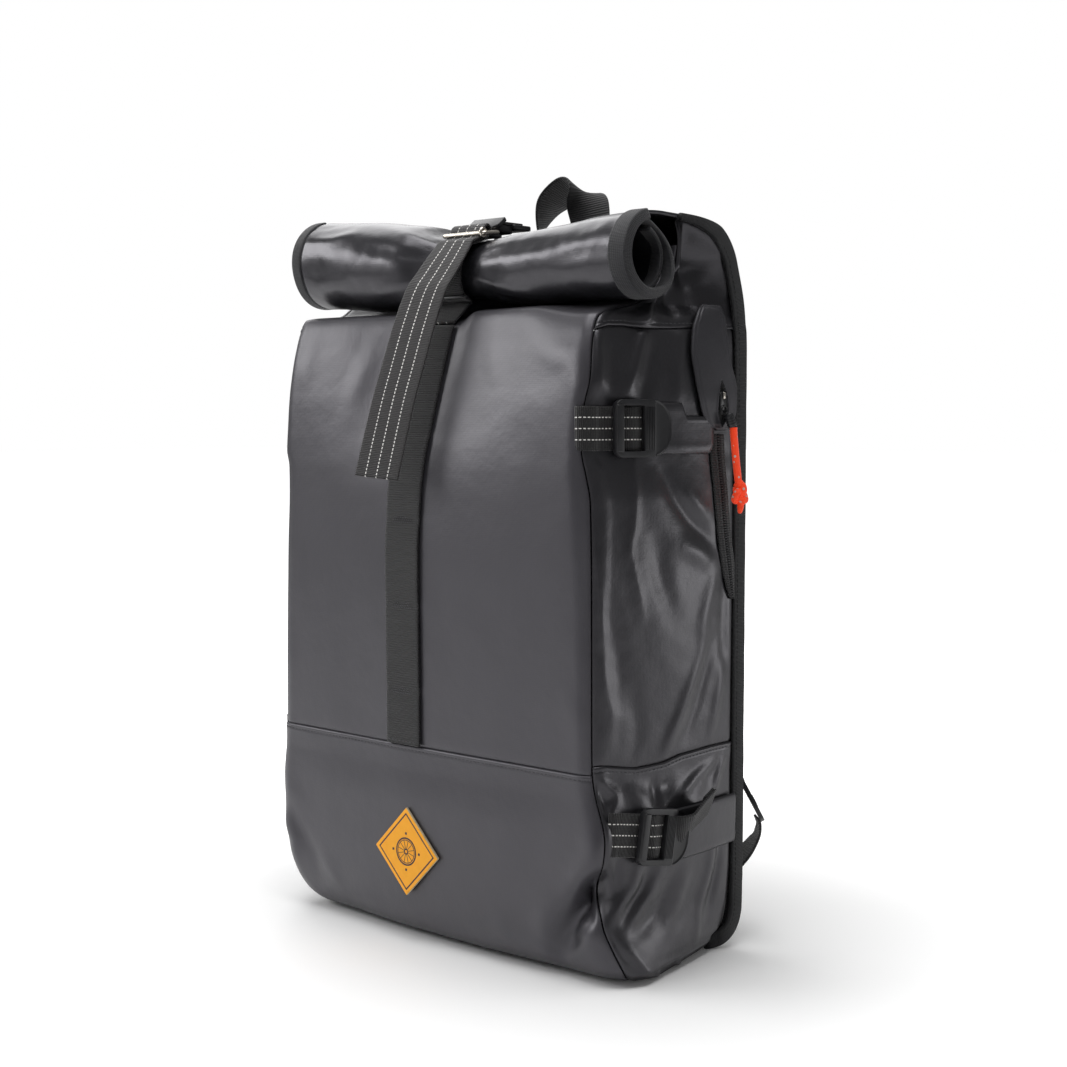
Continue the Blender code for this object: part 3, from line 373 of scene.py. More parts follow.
def new_material(name, **surface):
    """Material, what adds its nodes, and its shader; values that are the same all over are set on it."""
    material = bpy.data.materials.new(name)
    material.use_nodes = True
    shader = material.node_tree.nodes["Principled BSDF"]
    feed(shader, {socket.replace("_", " "): value for socket, value in surface.items()})
    return material, partial(add_node, material.node_tree), shader


def coated_tarpaulin(name, colour, scuffed, rough):
    """Polyester scrim with a thick satin PVC coat.

    The coat gives broad soft highlights that break up on tiny dimples, and the scrim shows
    through as a faint square grain.
    """
    material, add, shader = new_material(name, IOR=1.53, Coat_Weight=0.12, Coat_Roughness=0.22,
                                         Specular_IOR_Level=0.62, Specular_Tint=(0.95, 0.92, 1.0, 1.0))
    place = add("TexCoord").outputs["Object"]
    cloudy = add("TexNoise", {"Vector": place, "Scale": 14.0, "Detail": 4.0})
    blend = add("MapRange", {"Value": cloudy, "From Min": 0.35, "From Max": 0.7})
    tint = add("Mix", {0: blend, 6: linear(colour), 7: linear(scuffed)}, data_type="RGBA")
    gloss = add("MapRange", {"Value": cloudy, "From Min": 0.3, "From Max": 0.75, "To Min": rough - 0.03,
                             "To Max": rough + 0.05})
    # Threads of the scrim 1.1 mm apart, both ways
    uv = add("UVMap")
    threads = [add("TexWave", {"Vector": uv, "Scale": TAU / 1.1 / 20, "Distortion": 0.3}, wave_type="BANDS",
                   bands_direction=way).outputs["Fac"] for way in "XY"]
    weave = add("Math", {0: threads[0], 1: threads[1]}, operation="ADD")
    bump = add("Bump", {"Height": weave, "Strength": 0.05, "Distance": 0.0002})
    # Dimples of the coat, about 1.5 mm across, and slow waves in the cloth
    for scale, detail, strength, depth in ((650.0, 2.0, 0.12, 0.0004), (70.0, 3.0, 0.10, 0.004)):
        uneven = add("TexNoise", {"Vector": place, "Scale": scale, "Detail": detail})
        bump = add("Bump", {"Height": uneven, "Strength": strength, "Distance": depth, "Normal": bump})
    feed(shader, {"Base Color": tint, "Roughness": gloss, "Normal": bump})
    return material


def polyester_webbing(name, colour, ribs_mm, dashes=None, sheen=0.25):
    """Flat woven polyester: ribs across it shade its face, and dashes of bright thread run along it.

    The UV map is in millimetres, across and along. Dashes are (places across, pitch, length).
    """
    material, add, shader = new_material(name, IOR=1.5, Roughness=0.62, Sheen_Weight=sheen,
                                         Sheen_Roughness=0.4, Specular_IOR_Level=0.4)
    across, along, _ = add("SeparateXYZ", {0: add("UVMap")}).outputs
    # Ribs, and warp threads 0.9 mm apart
    turns = [add("Math", {0: way, 1: TAU / pitch}, operation="MULTIPLY")
             for way, pitch in ((along, ribs_mm), (across, 0.9))]
    rib, warp = (add("Math", {0: turn}, operation="SINE") for turn in turns)
    weave = add("Math", {0: warp, 1: 0.35, 2: rib}, operation="MULTIPLY_ADD")
    shade = add("MapRange", {"Value": weave, "From Min": -1.2, "From Max": 1.2})
    deep = tuple(c * 0.45 for c in linear(colour)[:3]) + (1,)
    tint = add("Mix", {0: shade, 6: deep, 7: linear(colour)}, data_type="RGBA")
    if dashes:
        places, pitch, length = dashes
        wrap = add("Math", {0: along, 1: pitch}, operation="FLOORED_MODULO")
        shown = add("Math", {0: wrap, 1: length}, operation="LESS_THAN")
        rows = 0.0
        for place in places:
            off = add("Math", {0: across, 1: place}, operation="SUBTRACT")
            far = add("Math", {0: off}, operation="ABSOLUTE")
            row = add("Math", {0: far, 1: DASH_HALF_WIDTH}, operation="LESS_THAN")
            rows = add("Math", {0: rows, 1: row}, operation="MAXIMUM")
        both = add("Math", {0: rows, 1: shown}, operation="MULTIPLY")
        tint = add("Mix", {0: both, 6: tint, 7: linear("#F2F0EC")}, data_type="RGBA")
    relief = add("Bump", {"Height": weave, "Strength": 0.6, "Distance": 0.00025})
    feed(shader, {"Base Color": tint, "Normal": relief})
    return material


def moulded_acetal():
    """Injection-moulded acetal: satin, with the fine spark-eroded grain of its mould."""
    material, add, shader = new_material("moulded acetal", IOR=1.48, Specular_IOR_Level=0.5)
    place = add("TexCoord").outputs["Object"]
    # Grain drawn at 0.4 mm; the real one is finer than the render can show
    grain = add("TexNoise", {"Vector": place, "Scale": 2500.0, "Detail": 1.0})
    worn = add("TexNoise", {"Vector": place, "Scale": 120.0, "Detail": 3.0})
    tint = add("Mix", {0: worn, 6: linear("#1B1B1D"), 7: linear("#262629")}, data_type="RGBA")
    gloss = add("MapRange", {"Value": worn, "To Min": 0.3, "To Max": 0.44})
    relief = add("Bump", {"Height": grain, "Strength": 0.15, "Distance": 0.0001})
    feed(shader, {"Base Color": tint, "Roughness": gloss, "Normal": relief})
    return material


def nickel_steel():
    """Nickel-plated steel wire: bright, with fine scratches that soften its highlights."""
    material, add, shader = new_material("nickel plated steel", Metallic=1.0)
    place = add("TexCoord").outputs["Object"]
    scratch = add("TexNoise", {"Vector": place, "Scale": 900.0, "Detail": 3.0})
    gloss = add("MapRange", {"Value": scratch, "To Min": 0.14, "To Max": 0.34})
    tint = add("Mix", {0: scratch, 6: linear("#BDB5AA"), 7: linear("#E2DCD2")}, data_type="RGBA")
    feed(shader, {"Base Color": tint, "Roughness": gloss})
    return material


def dyed_leather(name, colour, dark):
    """Split leather dyed through: matte, with pores about 0.6 mm apart and a slightly cloudy dye."""
    material, add, shader = new_material(name, IOR=1.5, Specular_IOR_Level=0.35)
    place = add("TexCoord").outputs["Object"]
    cloudy = add("TexNoise", {"Vector": place, "Scale": 160.0, "Detail": 4.0})
    tint = add("Mix", {0: cloudy, 6: linear(dark), 7: linear(colour)}, data_type="RGBA")
    pores = add("TexVoronoi", {"Vector": place, "Scale": 1600.0}, feature="SMOOTH_F1")
    relief = add("Bump", {"Height": pores, "Strength": 0.25, "Distance": 0.0003})
    gloss = add("MapRange", {"Value": cloudy, "To Min": 0.5, "To Max": 0.68})
    feed(shader, {"Base Color": tint, "Roughness": gloss, "Normal": relief})
    return material


def spacer_mesh():
    """Knitted spacer mesh over foam: matte black with round holes 2.4 mm apart."""
    material, add, shader = new_material("spacer mesh", IOR=1.5, Roughness=0.85, Sheen_Weight=0.3,
                                         Sheen_Roughness=0.5, Specular_IOR_Level=0.3)
    holes = add("TexVoronoi", {"Vector": add("UVMap"), "Scale": 1 / 2.4, "Randomness": 0.12}, feature="F1")
    edge = add("MapRange", {"Value": holes, "From Min": 0.18, "From Max": 0.34})
    tint = add("Mix", {0: edge, 6: linear("#0B0B0C"), 7: linear("#29292C")}, data_type="RGBA")
    relief = add("Bump", {"Height": edge, "Strength": 0.8, "Distance": 0.0006})
    feed(shader, {"Base Color": tint, "Normal": relief})
    return material


def braided_cord():
    """Braided polyester cord: strands cross at a slant, and grey tracer threads fleck it in pairs.

    The dye is fluorescent; its emission is a painted glow that makes the cord brighter than the lamps alone
    light it.
    """
    material, add, shader = new_material("braided cord", IOR=1.5, Roughness=0.6, Sheen_Weight=0.35,
                                         Sheen_Roughness=0.4, Specular_IOR_Level=0.35, Emission_Strength=0.22)
    place = add("TexCoord").outputs["Object"]
    strands = add("TexVoronoi", {"Vector": place, "Scale": 950.0, "Randomness": 0.5}, feature="SMOOTH_F1")
    tint = add("Mix", {0: strands, 6: linear("#FF5326"), 7: linear("#F22C0C")}, data_type="RGBA")
    flecks = add("TexVoronoi", {"Vector": place, "Scale": 260.0, "Randomness": 1.0}, feature="F1")
    few = add("Math", {0: flecks, 1: 0.2}, operation="LESS_THAN")
    flecked = add("Mix", {0: few, 6: tint, 7: linear("#B9A9A4")}, data_type="RGBA")
    relief = add("Bump", {"Height": strands, "Strength": 0.7, "Distance": 0.0004}, invert=True)
    feed(shader, {"Base Color": flecked, "Emission Color": flecked, "Normal": relief})
    return material


def plain_thread(name, colour, rough=0.6):
    """Bonded polyester thread and other trim too small for a pattern of its own but a slight mottle."""
    material, add, shader = new_material(name, IOR=1.5, Roughness=rough, Specular_IOR_Level=0.4)
    mottle = add("TexNoise", {"Vector": add("TexCoord").outputs["Object"], "Scale": 800.0})
    dark = tuple(c * 0.6 for c in linear(colour)[:3]) + (1,)
    feed(shader, {"Base Color": add("Mix", {0: mottle, 6: dark, 7: linear(colour)}, data_type="RGBA")})
    return material


TARPAULIN = coated_tarpaulin("satin coated tarpaulin", "#302F33", "#353438", 0.42)
# Copy of the cloth painted darker: painted shade for the roll's underside; its lower roughness is the coat
# stretched smooth.
SHADED_ROLL_TARPAULIN = coated_tarpaulin("satin coated tarpaulin, stretched smooth", "#17171A", "#1C1C1F", 0.29)
# Copy of the cloth painted darker: painted shade on the sides, gussets and wings.
SHADED_SIDE_TARPAULIN = coated_tarpaulin("satin coated tarpaulin, dark", "#151517", "#1A1A1C", 0.35)
# Near-black copy of the cloth: painted shade at the foot of the sides.
FOOT_SHADE_CLOTH = coated_tarpaulin("tarpaulin painted near-black as shade at the foot", "#0D0D0E", "#121213", 0.5)
COVER_CLOTH = coated_tarpaulin("matte welded film", "#1E1E20", "#242427", 0.5)
PLAIN_WEBBING = polyester_webbing("ribbed webbing", "#201F21", 1.5)
STRAP_WEBBING = polyester_webbing("closing strap webbing", "#3A3839", 1.1, ((-7.5, 0.0, 7.5), *DASHES))
SIDE_WEBBING = polyester_webbing("side strap webbing", "#1F1E1F", 1.1, ((-6.5, 0.0, 6.5), *DASHES))
# The edge tapes' copy of the grosgrain is painted darker than the roll's: painted shade on the sides.
SHADED_BINDING_TAPE = polyester_webbing("grosgrain binding tape, painted darker as shade", "#1B1B1E", 0.9, sheen=0.1)
ROLL_TAPE = polyester_webbing("grosgrain tape on the roll", "#2C2C30", 0.9, sheen=0.2)
SPACER_MESH = spacer_mesh()
ACETAL = moulded_acetal()
STEEL = nickel_steel()
DARK_METAL = plain_thread("blackened zinc", "#1C1C1E", 0.3)
LEATHER = dyed_leather("dyed leather", "#FFB430", "#F2A01C")
INK = dyed_leather("printed leather", "#3D3540", "#332B35")
CORD = braided_cord()
THREAD = plain_thread("dark thread", "#4A494D")
BLACK_THREAD = plain_thread("black thread", "#1B1B1D")
PALE_EDGE = plain_thread("pale cut edge", "#D9C9A8", 0.7)


# Pieces

def settle(obj, slot, *nodes):
    """Let a finished piece ride on the bag and stand for solids; slot is not used."""
    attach(obj, "root")
    if nodes:
        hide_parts(*nodes)
    return obj


def link_mesh(name, vertices, faces, material, uvs=None):
    """Mesh object from millimetres; uvs has one pair for each corner of each face."""
    mesh = bpy.data.meshes.new(name)
    mesh.from_pydata((np.asarray(vertices) * MM).tolist(), [], faces)
    if uvs is not None:
        mesh.uv_layers.new(name="UVMap").data.foreach_set("uv", np.asarray(uvs, np.float32).ravel())
    mesh.polygons.foreach_set("use_smooth", [True] * len(mesh.polygons))
    mesh.materials.append(material)
    obj = bpy.data.objects.new(name, mesh)
    bpy.context.collection.objects.link(obj)
    return obj


def map_of(across, along):
    """UV map in millimetres, from places across and along a surface."""
    return np.stack(np.broadcast_arrays(across[None], along[:, None]), -1)


def quads_of(index):
    return np.stack((index[:-1, :-1], index[:-1, 1:], index[1:, 1:], index[1:, :-1]), -1).reshape(-1, 4)


def shell(name, points, normals, thick, uv, material):
    """Closed cloth of a thickness under a grid of points, with its edges."""
    rows, cols = points.shape[:2]
    count = rows * cols
    index = np.arange(count).reshape(rows, cols)
    inner = index + count
    faces = [quads_of(index), quads_of(inner)[:, ::-1]]
    for line in (index[0], index[:, -1], index[-1][::-1], index[:, 0][::-1]):
        faces.append(np.stack((line[1:], line[:-1], line[:-1] + count, line[1:] + count), -1))
    faces = np.concatenate(faces)
    flat = uv.reshape(-1, 2)
    flat = np.concatenate((flat, flat))
    vertices = np.concatenate((points.reshape(-1, 3), (points - normals * thick).reshape(-1, 3)))
    return link_mesh(name, vertices, faces.tolist(), material, flat[faces.ravel()])


def tube(name, rings, uv, material):
    """Skin over a row of closed rings of points, with its ends filled."""
    rows, cols = rings.shape[:2]
    index = np.arange(rows * cols).reshape(rows, cols)
    index = np.concatenate((index, index[:, :1]), 1)
    uv_index = np.arange(rows * (cols + 1)).reshape(rows, cols + 1)
    faces = quads_of(index).tolist() + [index[0, :cols][::-1].tolist(), index[-1, :cols].tolist()]
    loops = np.concatenate((quads_of(uv_index).ravel(), uv_index[0, :cols][::-1], uv_index[-1, :cols]))
    return link_mesh(name, rings.reshape(-1, 3), faces, material, uv.reshape(-1, 2)[loops])


def strip_section(width, thick, columns=12):
    """Outline of a flat strip with round selvedges, anticlockwise."""
    half, r = width / 2, thick / 2
    top = [(a, r) for a in np.linspace(half - r, -half + r, columns)]
    left = [(-half + r - r * math.sin(t), r * math.cos(t)) for t in np.linspace(0, math.pi, 5)[1:-1]]
    bottom = [(a, -r) for a in np.linspace(-half + r, half - r, columns)]
    right = [(half - r + r * math.sin(t), -r * math.cos(t)) for t in np.linspace(0, math.pi, 5)[1:-1]]
    return np.array(top + left + bottom + right)


def ribbon_frames(path, across):
    """Unit across and normal vectors of a path, square to it."""
    tangent = unit(np.gradient(path, axis=0))
    across = unit(across - tangent * np.sum(across * tangent, 1, keepdims=True))
    return tangent, across, np.cross(tangent, across)


def ribbon(name, path, across, section, material):
    """Sweep a section along a path."""
    tangent, across, normal = ribbon_frames(path, across)
    a, b = section[:, 0], section[:, 1]
    rings = path[:, None] + across[:, None] * a[None, :, None] + normal[:, None] * b[None, :, None]
    return tube(name, rings, map_of(np.append(a, a[0]), length_along(path)), material)


def stitches(name, runs, material, slot, pitch=3.2, length=2.3, thick=0.28):
    """Stitches along runs of points with their normals, sunk a little at both ends."""
    rings = ((-0.5, 0.35, -0.7), (-0.32, 0.95, -0.1), (0.32, 0.95, -0.1), (0.5, 0.35, -0.7))
    vertices, faces = [], []
    for path, normals in runs:
        far = length_along(path)
        at = np.arange(pitch / 2, far[-1] - pitch / 3, pitch)
        middle = np.stack([np.interp(at, far, path[:, k]) for k in range(3)], 1)
        ahead = np.stack([np.interp(at + 0.3, far, path[:, k]) for k in range(3)], 1)
        behind = np.stack([np.interp(at - 0.3, far, path[:, k]) for k in range(3)], 1)
        out = unit(np.stack([np.interp(at, far, normals[:, k]) for k in range(3)], 1))
        along = unit(ahead - behind)
        side = np.cross(out, along)
        for m, t, n, s in zip(middle, along, out, side):
            first = len(vertices)
            for place, radius, sink in rings:
                for k in range(5):
                    turn = TAU * k / 5
                    vertices.append(m + t * place * length + n * thick * (sink + radius * math.sin(turn))
                                    + s * thick * radius * 1.25 * math.cos(turn))
            for ring in range(3):
                for k in range(5):
                    a, b = first + ring * 5 + k, first + ring * 5 + (k + 1) % 5
                    faces.append((b, a, a + 5, b + 5))
            faces.append(tuple(first + k for k in range(5)))
            faces.append(tuple(first + 15 + k for k in reversed(range(5))))
    return settle(link_mesh(name, vertices, faces, material), slot)


# The bag's cloth panels

# Heights of the cloth over the skin at distances from a seam
TUCKED = ((0.0, -1.2), (1.0, -0.6), (2.5, -0.15), (5.0, 0.0))
FOLDED = ((0.0, -0.6), (0.35, 0.35), (1.1, 0.8), (2.2, 0.72), (2.9, 0.45), (3.6, 0.7), (8.0, 0.45),
          (16.0, 0.0))
CORNER_SEAM = ((0.0, -0.75), (0.8, -0.2), (1.8, 0.05), (4.0, 0.0))
BOUND = ((0.0, -0.8), (1.5, -0.3), (4.0, 0.0))
NO_EDGE = ((0.0, 0.0), (1.0, 0.0))
SEAM_STEPS = np.array((0, 0.35, 0.7, 1.1, 1.7, 2.3, 2.9, 3.6, 4.6))

# The right side's seam over its base wanders: depth, height
SIDE_SEAM_LINE = ((-64, 130.5), (-54, 131.0), (-28, 126.5), (-6, 127.0), (10, 130.0), (38, 131.4),
                  (61, 131.5))

COLLAR_SEAM_LINE = ((-64, 380.5), (-60, 381.5), (-48, 385.5), (-36, 389.0), (-24, 389.4), (-10, 388.2),
                    (26, 389.3),
                    (61, 389.5))

FRONT_FOLDS = (
    (((-66, 378), (-72, 359), (-78, 340)), 9, 0.9),
    (((74, 380), (114, 368), (126, 346)), 9, 1),
    (((40, 378), (52, 352)), 8, 0.5),
    (((-120, 384), (-124, 352)), 7, 0.7),
    (((-132, 300), (-134, 250), (-131, 205)), 9, -0.8),
    (((128, 300), (130, 250), (126, 205)), 8, -0.7),
    (((-128, 190), (-132, 160)), 7, 0.7),
    (((118, 180), (126, 150)), 8, 0.6),
)
BASE_FRONT_FOLDS = (
    (((-141, 66), (-126, 47), (-128, 33)), 6, 2.2),
    (((-136, 84), (-118, 72)), 8, 0.8),
    (((-122, 58), (-108, 40), (-106, 24)), 7, -1.2),
    (((-96, 40), (-84, 22)), 7, 0.8),
    (((149, 92), (138, 76), (122, 62)), 8, 2.6),
    (((153, 70), (139, 54), (122, 38), (108, 18)), 7.5, -12.5),
    (((150, 48), (140, 39), (124, 23)), 3.2, 2.4, "crest"),
    (((111, 15), (126, 27), (144, 46)), 3.4, -2.6),
    (((131, 46), (124, 26)), 6, 2.2),
    (((104, 44), (98, 22)), 8, 1.6),
    (((72, 34), (62, 16)), 9, 0.7),
    (((134, 96), (142, 76)), 7, 0.9),
    (((0, 22), (40, 15), (80, 17)), 7, -0.6),
)
RIGHT_FOLDS = (
    (((-25, 314), (-26, 298), (-29, 269), (-33, 255)), 3, 1.9, "crest"),
    (((-33, 262), (-29, 242), (-22, 216)), 3.4, 1.5, "crest"),
    (((-7, 306), (4, 288), (19, 272), (38, 257)), 6.5, -2.6),
    (((-14, 268), (-8, 240), (2, 214)), 8, -1.6),
    (((10, 290), (22, 281), (32, 276)), 6, 1.5),
    (((6, 258), (20, 254), (36, 246)), 7, 1.6),
    (((-57, 310), (-57, 286)), 6.5, 1.8),
    (((-65, 296), (-61, 264), (-59, 230)), 3.2, -1.9),
    (((-57, 264), (-55, 235), (-53.5, 204)), 2.2, 1.5, "crest"),
    (((-48, 226), (-40, 196), (-38, 166)), 7, -1.2),
    (((27, 190), (8.5, 155), (-9, 127)), 4.6, 1.6),
    (((49, 182), (43, 157), (37, 136)), 4.6, 1.5),
    (((40, 200), (27, 166), (14, 140)), 4.6, -1.3),
    (((40, 240), (30, 214), (28, 190)), 5.5, 1.2),
    (((50, 236), (48, 206), (52, 180)), 5, -1.1),
    (((-52, 190), (-46, 160), (-50, 134)), 5, 1),
    (((-30, 180), (-26, 152), (-33, 132)), 6, -0.9),
    (((13, 416), (-8, 388), (-30, 347)), 4.4, 3.6, "crest"),
    (((-4, 376), (-16, 352), (-18, 340)), 5, -1.6),
    (((22, 392), (12, 366), (10, 346)), 5, 1.4),
    (((-44, 384), (-47, 362), (-44, 346)), 4.6, 1.3),
    (((-34, 376), (-38, 352)), 4, -1.2),
)
BASE_RIGHT_FOLDS = (
    (((-60, 126), (-50, 119), (-44.5, 115), (-45, 110), (-52, 104)), 2.2, 2.2, "crest"),
    (((-57, 119), (-53, 110), (-56, 103)), 3.6, -3),
    (((-36, 121), (-28, 112), (-24, 104)), 6.5, 1.3),
    (((-14.5, 123), (-14, 112), (-15, 102)), 3.4, -1.8),
    (((-6, 120), (-2, 108)), 6, -1.1),
    (((36, 122), (22, 115), (9, 107)), 2.8, 1.7),
    (((43, 124), (33, 116), (23, 107)), 2.8, 1.6),
    (((38, 119), (29, 111)), 2.2, -1.2),
    (((52, 127), (46, 115), (40, 104)), 3, 1.7),
    (((-29, 73), (-37, 57), (-57, 43)), 4.4, 1.7),
    (((-20, 70), (-28, 55), (-46, 38)), 3.6, -1.6),
    (((-12, 66), (-21, 52), (-42, 34)), 4.4, 1.6),
    (((1, 62), (-14, 41), (-30, 31)), 4.6, -1.3),
    (((12, 60), (2, 40), (-10, 26)), 5, 1.2),
    (((39, 80), (35, 58), (25, 32), (23, 15)), 4.4, 1.6),
    (((47, 72), (43, 50), (35, 26)), 3.4, -1.8),
    (((-56, 76), (-55, 52)), 5, 1.6),
    (((-49, 74), (-49, 56), (-60, 43)), 2.8, -2.4),
    (((-60, 39), (-50, 20), (-36, 6)), 2.6, -1.7),
    (((-74, 8), (0, 8), (72, 9)), 1.5, 2.2, "crest"),
    (((-44, 5), (-34, 1)), 1.8, 1.6),
    (((-22, 5), (-16, 1)), 1.8, 1.4),
    (((2, 5), (12, 1)), 1.8, 1.4),
)
GUSSET_FOLDS = (
    (((8, 436), (25, 424), (44, 429)), 3, 1.8, "crest"),
    (((46, 430), (38, 413), (36, 398)), 3.6, 1.4),
    (((30, 440), (34, 416)), 4, -1.8),
    (((14, 420), (2, 402), (-12, 390)), 4.6, 1.8),
    (((20, 410), (14, 394)), 4.2, -1.4),
)
LEFT_FOLDS = (
    (((-52, 306), (-40, 280), (-12, 262)), 5, 1.6),
    (((-30, 300), (-8, 284), (26, 280)), 6, -1.9),
    (((30, 300), (22, 262), (30, 222)), 5, 1.5),
    (((-46, 240), (-34, 200), (-40, 160)), 6, -1.3),
    (((-28, 226), (-20, 190), (-26, 150)), 4.4, 1.3, "crest"),
    (((10, 230), (2, 186), (8, 140)), 6.5, 1.3),
    (((44, 210), (38, 170), (42, 136)), 5, -1.2),
    (((0, 408), (-14, 378), (-30, 348)), 5.5, 2),
    (((24, 390), (16, 362), (20, 346)), 5, 1.3),
    (((-42, 380), (-44, 352)), 4.6, -1.2),
)
BASE_LEFT_FOLDS = (
    (((-50, 126), (-40, 108), (-24, 100)), 3.4, 1.6),
    (((-6, 124), (4, 108)), 4, 1.2),
    (((40, 126), (50, 104)), 3.6, 1.3),
    (((-44, 42), (-18, 62)), 5, 1.4),
    (((-8, 30), (10, 60)), 5, -1.2),
    (((20, 28), (36, 62)), 4.6, 1.3),
    (((-54, 70), (-50, 44), (-58, 30)), 4, -1.6),
)


def unrolled(w, z):
    """Place across the cloth in millimetres: X on the front, Y on the sides, with corners laid flat."""
    w, z = np.broadcast_arrays(w, z)
    r = body_column("round", z)
    front = mix(body_column("left_x", z) + r, body_column("right_x", z) - r, np.clip(w - 2, 0, 1))
    front = front - r * np.clip(2 - w, 0, 1) * math.pi / 2 + r * np.clip(w - 3, 0, 1) * math.pi / 2
    side_y = body_column("corner_y", z) + r
    hand_t = np.where(w > 2.5, w - 4, 1 - w)
    side = mix(side_y, body_column("back_y", z), np.clip(hand_t, 0, 1))
    side = side + r * np.clip(hand_t, -1, 0) * math.pi / 2
    return front, side


def front_height(w, z):
    across, _ = unrolled(w, z)
    z = np.broadcast_to(z, across.shape)
    height = folds(across, z, FRONT_FOLDS if np.min(z) > 100 else BASE_FRONT_FOLDS)
    return height + 0.35 * rumple(across, z, 85, 3, 0.5) + 0.10 * rumple(across, z, 26, 4)


def side_height(w, z):
    _, across = unrolled(w, z)
    z = np.broadcast_to(z, across.shape)
    right = np.max(w) > 2.5
    low = np.min(z) < 100
    if low:
        rows = BASE_RIGHT_FOLDS if right else BASE_LEFT_FOLDS
    else:
        rows = (RIGHT_FOLDS if right else LEFT_FOLDS) + GUSSET_FOLDS
    height = folds(across, z, rows)
    calm = 1 - 0.6 * np.exp(-((z - 128) / 8) ** 2)
    seed = 11 if right else 17
    return (height + 0.45 * rumple(across, z, 52, seed, 0.6) + 0.08 * rumple(across, z, 17, seed + 1)) * calm


def seam_spacing(length, step):
    """Distances along a panel: close together at both of its seams, then even."""
    count = max(int((length - 2 * SEAM_STEPS[-1]) / step), 2)
    middle = np.linspace(SEAM_STEPS[-1], length - SEAM_STEPS[-1], count + 1)[1:-1]
    return np.concatenate((SEAM_STEPS, middle, length - SEAM_STEPS[::-1]))


def spaced_along(values, points, step):
    """Values whose points lie seam_spacing apart, and their distances from both ends."""
    run = length_along(points)
    at = seam_spacing(run[-1], step)
    return np.interp(at, run, values), at, run[-1] - at


def edge_height(far, profile):
    far_values, heights = zip(*profile)
    return np.interp(far, far_values, heights, right=0.0)


def seam_shift(w, z):
    """How far the right side's cloth is shifted up to follow its wandering seams."""
    _, across = unrolled(w, z)
    shift = 0
    for line, height, reach in ((SIDE_SEAM_LINE, SIDE_SEAM_Z, 16), (COLLAR_SEAM_LINE, COLLAR_SEAM_Z, 15)):
        line = np.array(line, float)
        wander = np.interp(across, line[:, 0], line[:, 1]) - height
        shift = shift + np.where(w > 3.4, wander, 0.25 * wander) * np.exp(-((z - height) / reach) ** 2)
    return shift


def body_panel(name, node, span, heights, edges, height_of, material, slot, guide, step=2.1):
    """Cloth of the bag between two seams; edges are its profiles at first, last, low and high."""
    fine_w = np.linspace(*span, 1500)
    w, from_first, from_last = spaced_along(fine_w, skin(fine_w, 210.0), step)
    fine_z = np.linspace(*heights, 1500)
    z, from_low, from_high = spaced_along(fine_z, skin(guide, fine_z), step)
    w, z = np.meshgrid(w, z)
    lift = height_of(w, z)
    fade = np.minimum.reduce([np.broadcast_to(np.clip(far / 5, 0.15, 1), w.shape) for far in
                              (from_first[None], from_last[None], from_low[:, None], from_high[:, None])])
    lift = lift * fade
    for far, profile in zip((from_first[None], from_last[None], from_low[:, None], from_high[:, None]),
                            edges):
        lift = lift + edge_height(far, profile)
    z_cloth = z + (seam_shift(w, z) if height_of is side_height else 0)
    points = skin(w, z_cloth) + skin_normals(w, z_cloth) * lift[..., None]
    if heights[1] == GUSSET_TOP_Z:
        points = under_flap(points, w, z)
    points += corner_shift(w, z)
    points[..., 2] += brow(points)
    points[..., 2] = np.maximum(points[..., 2], 0.35)
    front, side = unrolled(w, z)
    uv = np.stack((front if height_of is front_height else side, z), -1)
    obj = shell(name, points, grid_normals(points), 1.3, uv, material)
    if name.startswith("base_side"):
        # The cloth turns under along the foot of the sides; below 7 mm it is painted near-black as shade
        obj.data.materials.append(FOOT_SHADE_CLOTH)
        for face in obj.data.polygons:
            face.material_index = int(face.center.z < 7.0 * MM)
    return settle(obj, slot, node)


def brow(points):
    """How far the front's upper edge stands up towards the roll: not at its right end nor under the strap."""
    x, y, z = points[..., 0], points[..., 1], points[..., 2]
    rise = np.interp(z, (352, 378, 390, 394, 398, 400.5, 403, 409), (0, 2.6, 6.2, 6.8, 4.6, 3.0, 1.5, 0))
    clear = smoothstep((np.abs(x - CHAIN_X) - 16) / 16)
    return rise * clear * smoothstep((116 - x) / 50) * smoothstep((8 - y) / 26)


def corner_shift(w, z):
    """How the right front corner hangs out over the start of the lower strap and is pressed in under it."""
    arc = body_column("round", z) * math.pi / 2
    past = np.where(w > 4, 0.5 * arc + (w - 4) * 120, (w - 3.5) * arc)
    out = 4.2 * np.exp(-((z - 88) / 24) ** 2) * np.exp(-(past / np.where(past > 0, 8.0, 13.0)) ** 2)
    past = np.where(w < 3, -0.5 * arc - (3 - w) * 250, past)
    dent = np.exp(-((z - 56 - 0.6 * past) / 13) ** 2) * np.exp(-(past / np.where(past > 0, 8.0, 15.0)) ** 2)
    return np.stack((out - 10.5 * dent, 9.5 * dent, 0 * out), -1)


def under_flap(points, w, z):
    """Carry a gusset's cloth on under the flap and under the tape along its edge."""
    s = np.linspace(1.98, 1, 200)
    line = roll_points(np.full(s.shape, 140.0), s)
    t = np.clip(np.where(w > 2.5, w - 4, 1 - w), 0, 1)
    points[..., 1] += 6.5 * t ** 4
    ceiling = np.interp(points[..., 1], line[:, 1], line[:, 2]) - 1.6
    edge = np.interp(points[..., 1], line[:, 1], flap_edge(1, s)) - 1.2
    near = smoothstep((z - 430) / (GUSSET_TOP_Z - 430))
    points[..., 2] += near * (ceiling - GUSSET_TOP_Z) * (z > 430)
    points[..., 2] = np.minimum(points[..., 2], ceiling)
    x = np.abs(points[..., 0])
    points[..., 0] = np.sign(points[..., 0]) * np.where(x > edge, mix(x, edge, smoothstep((z - 436) / 12)), x)
    return points


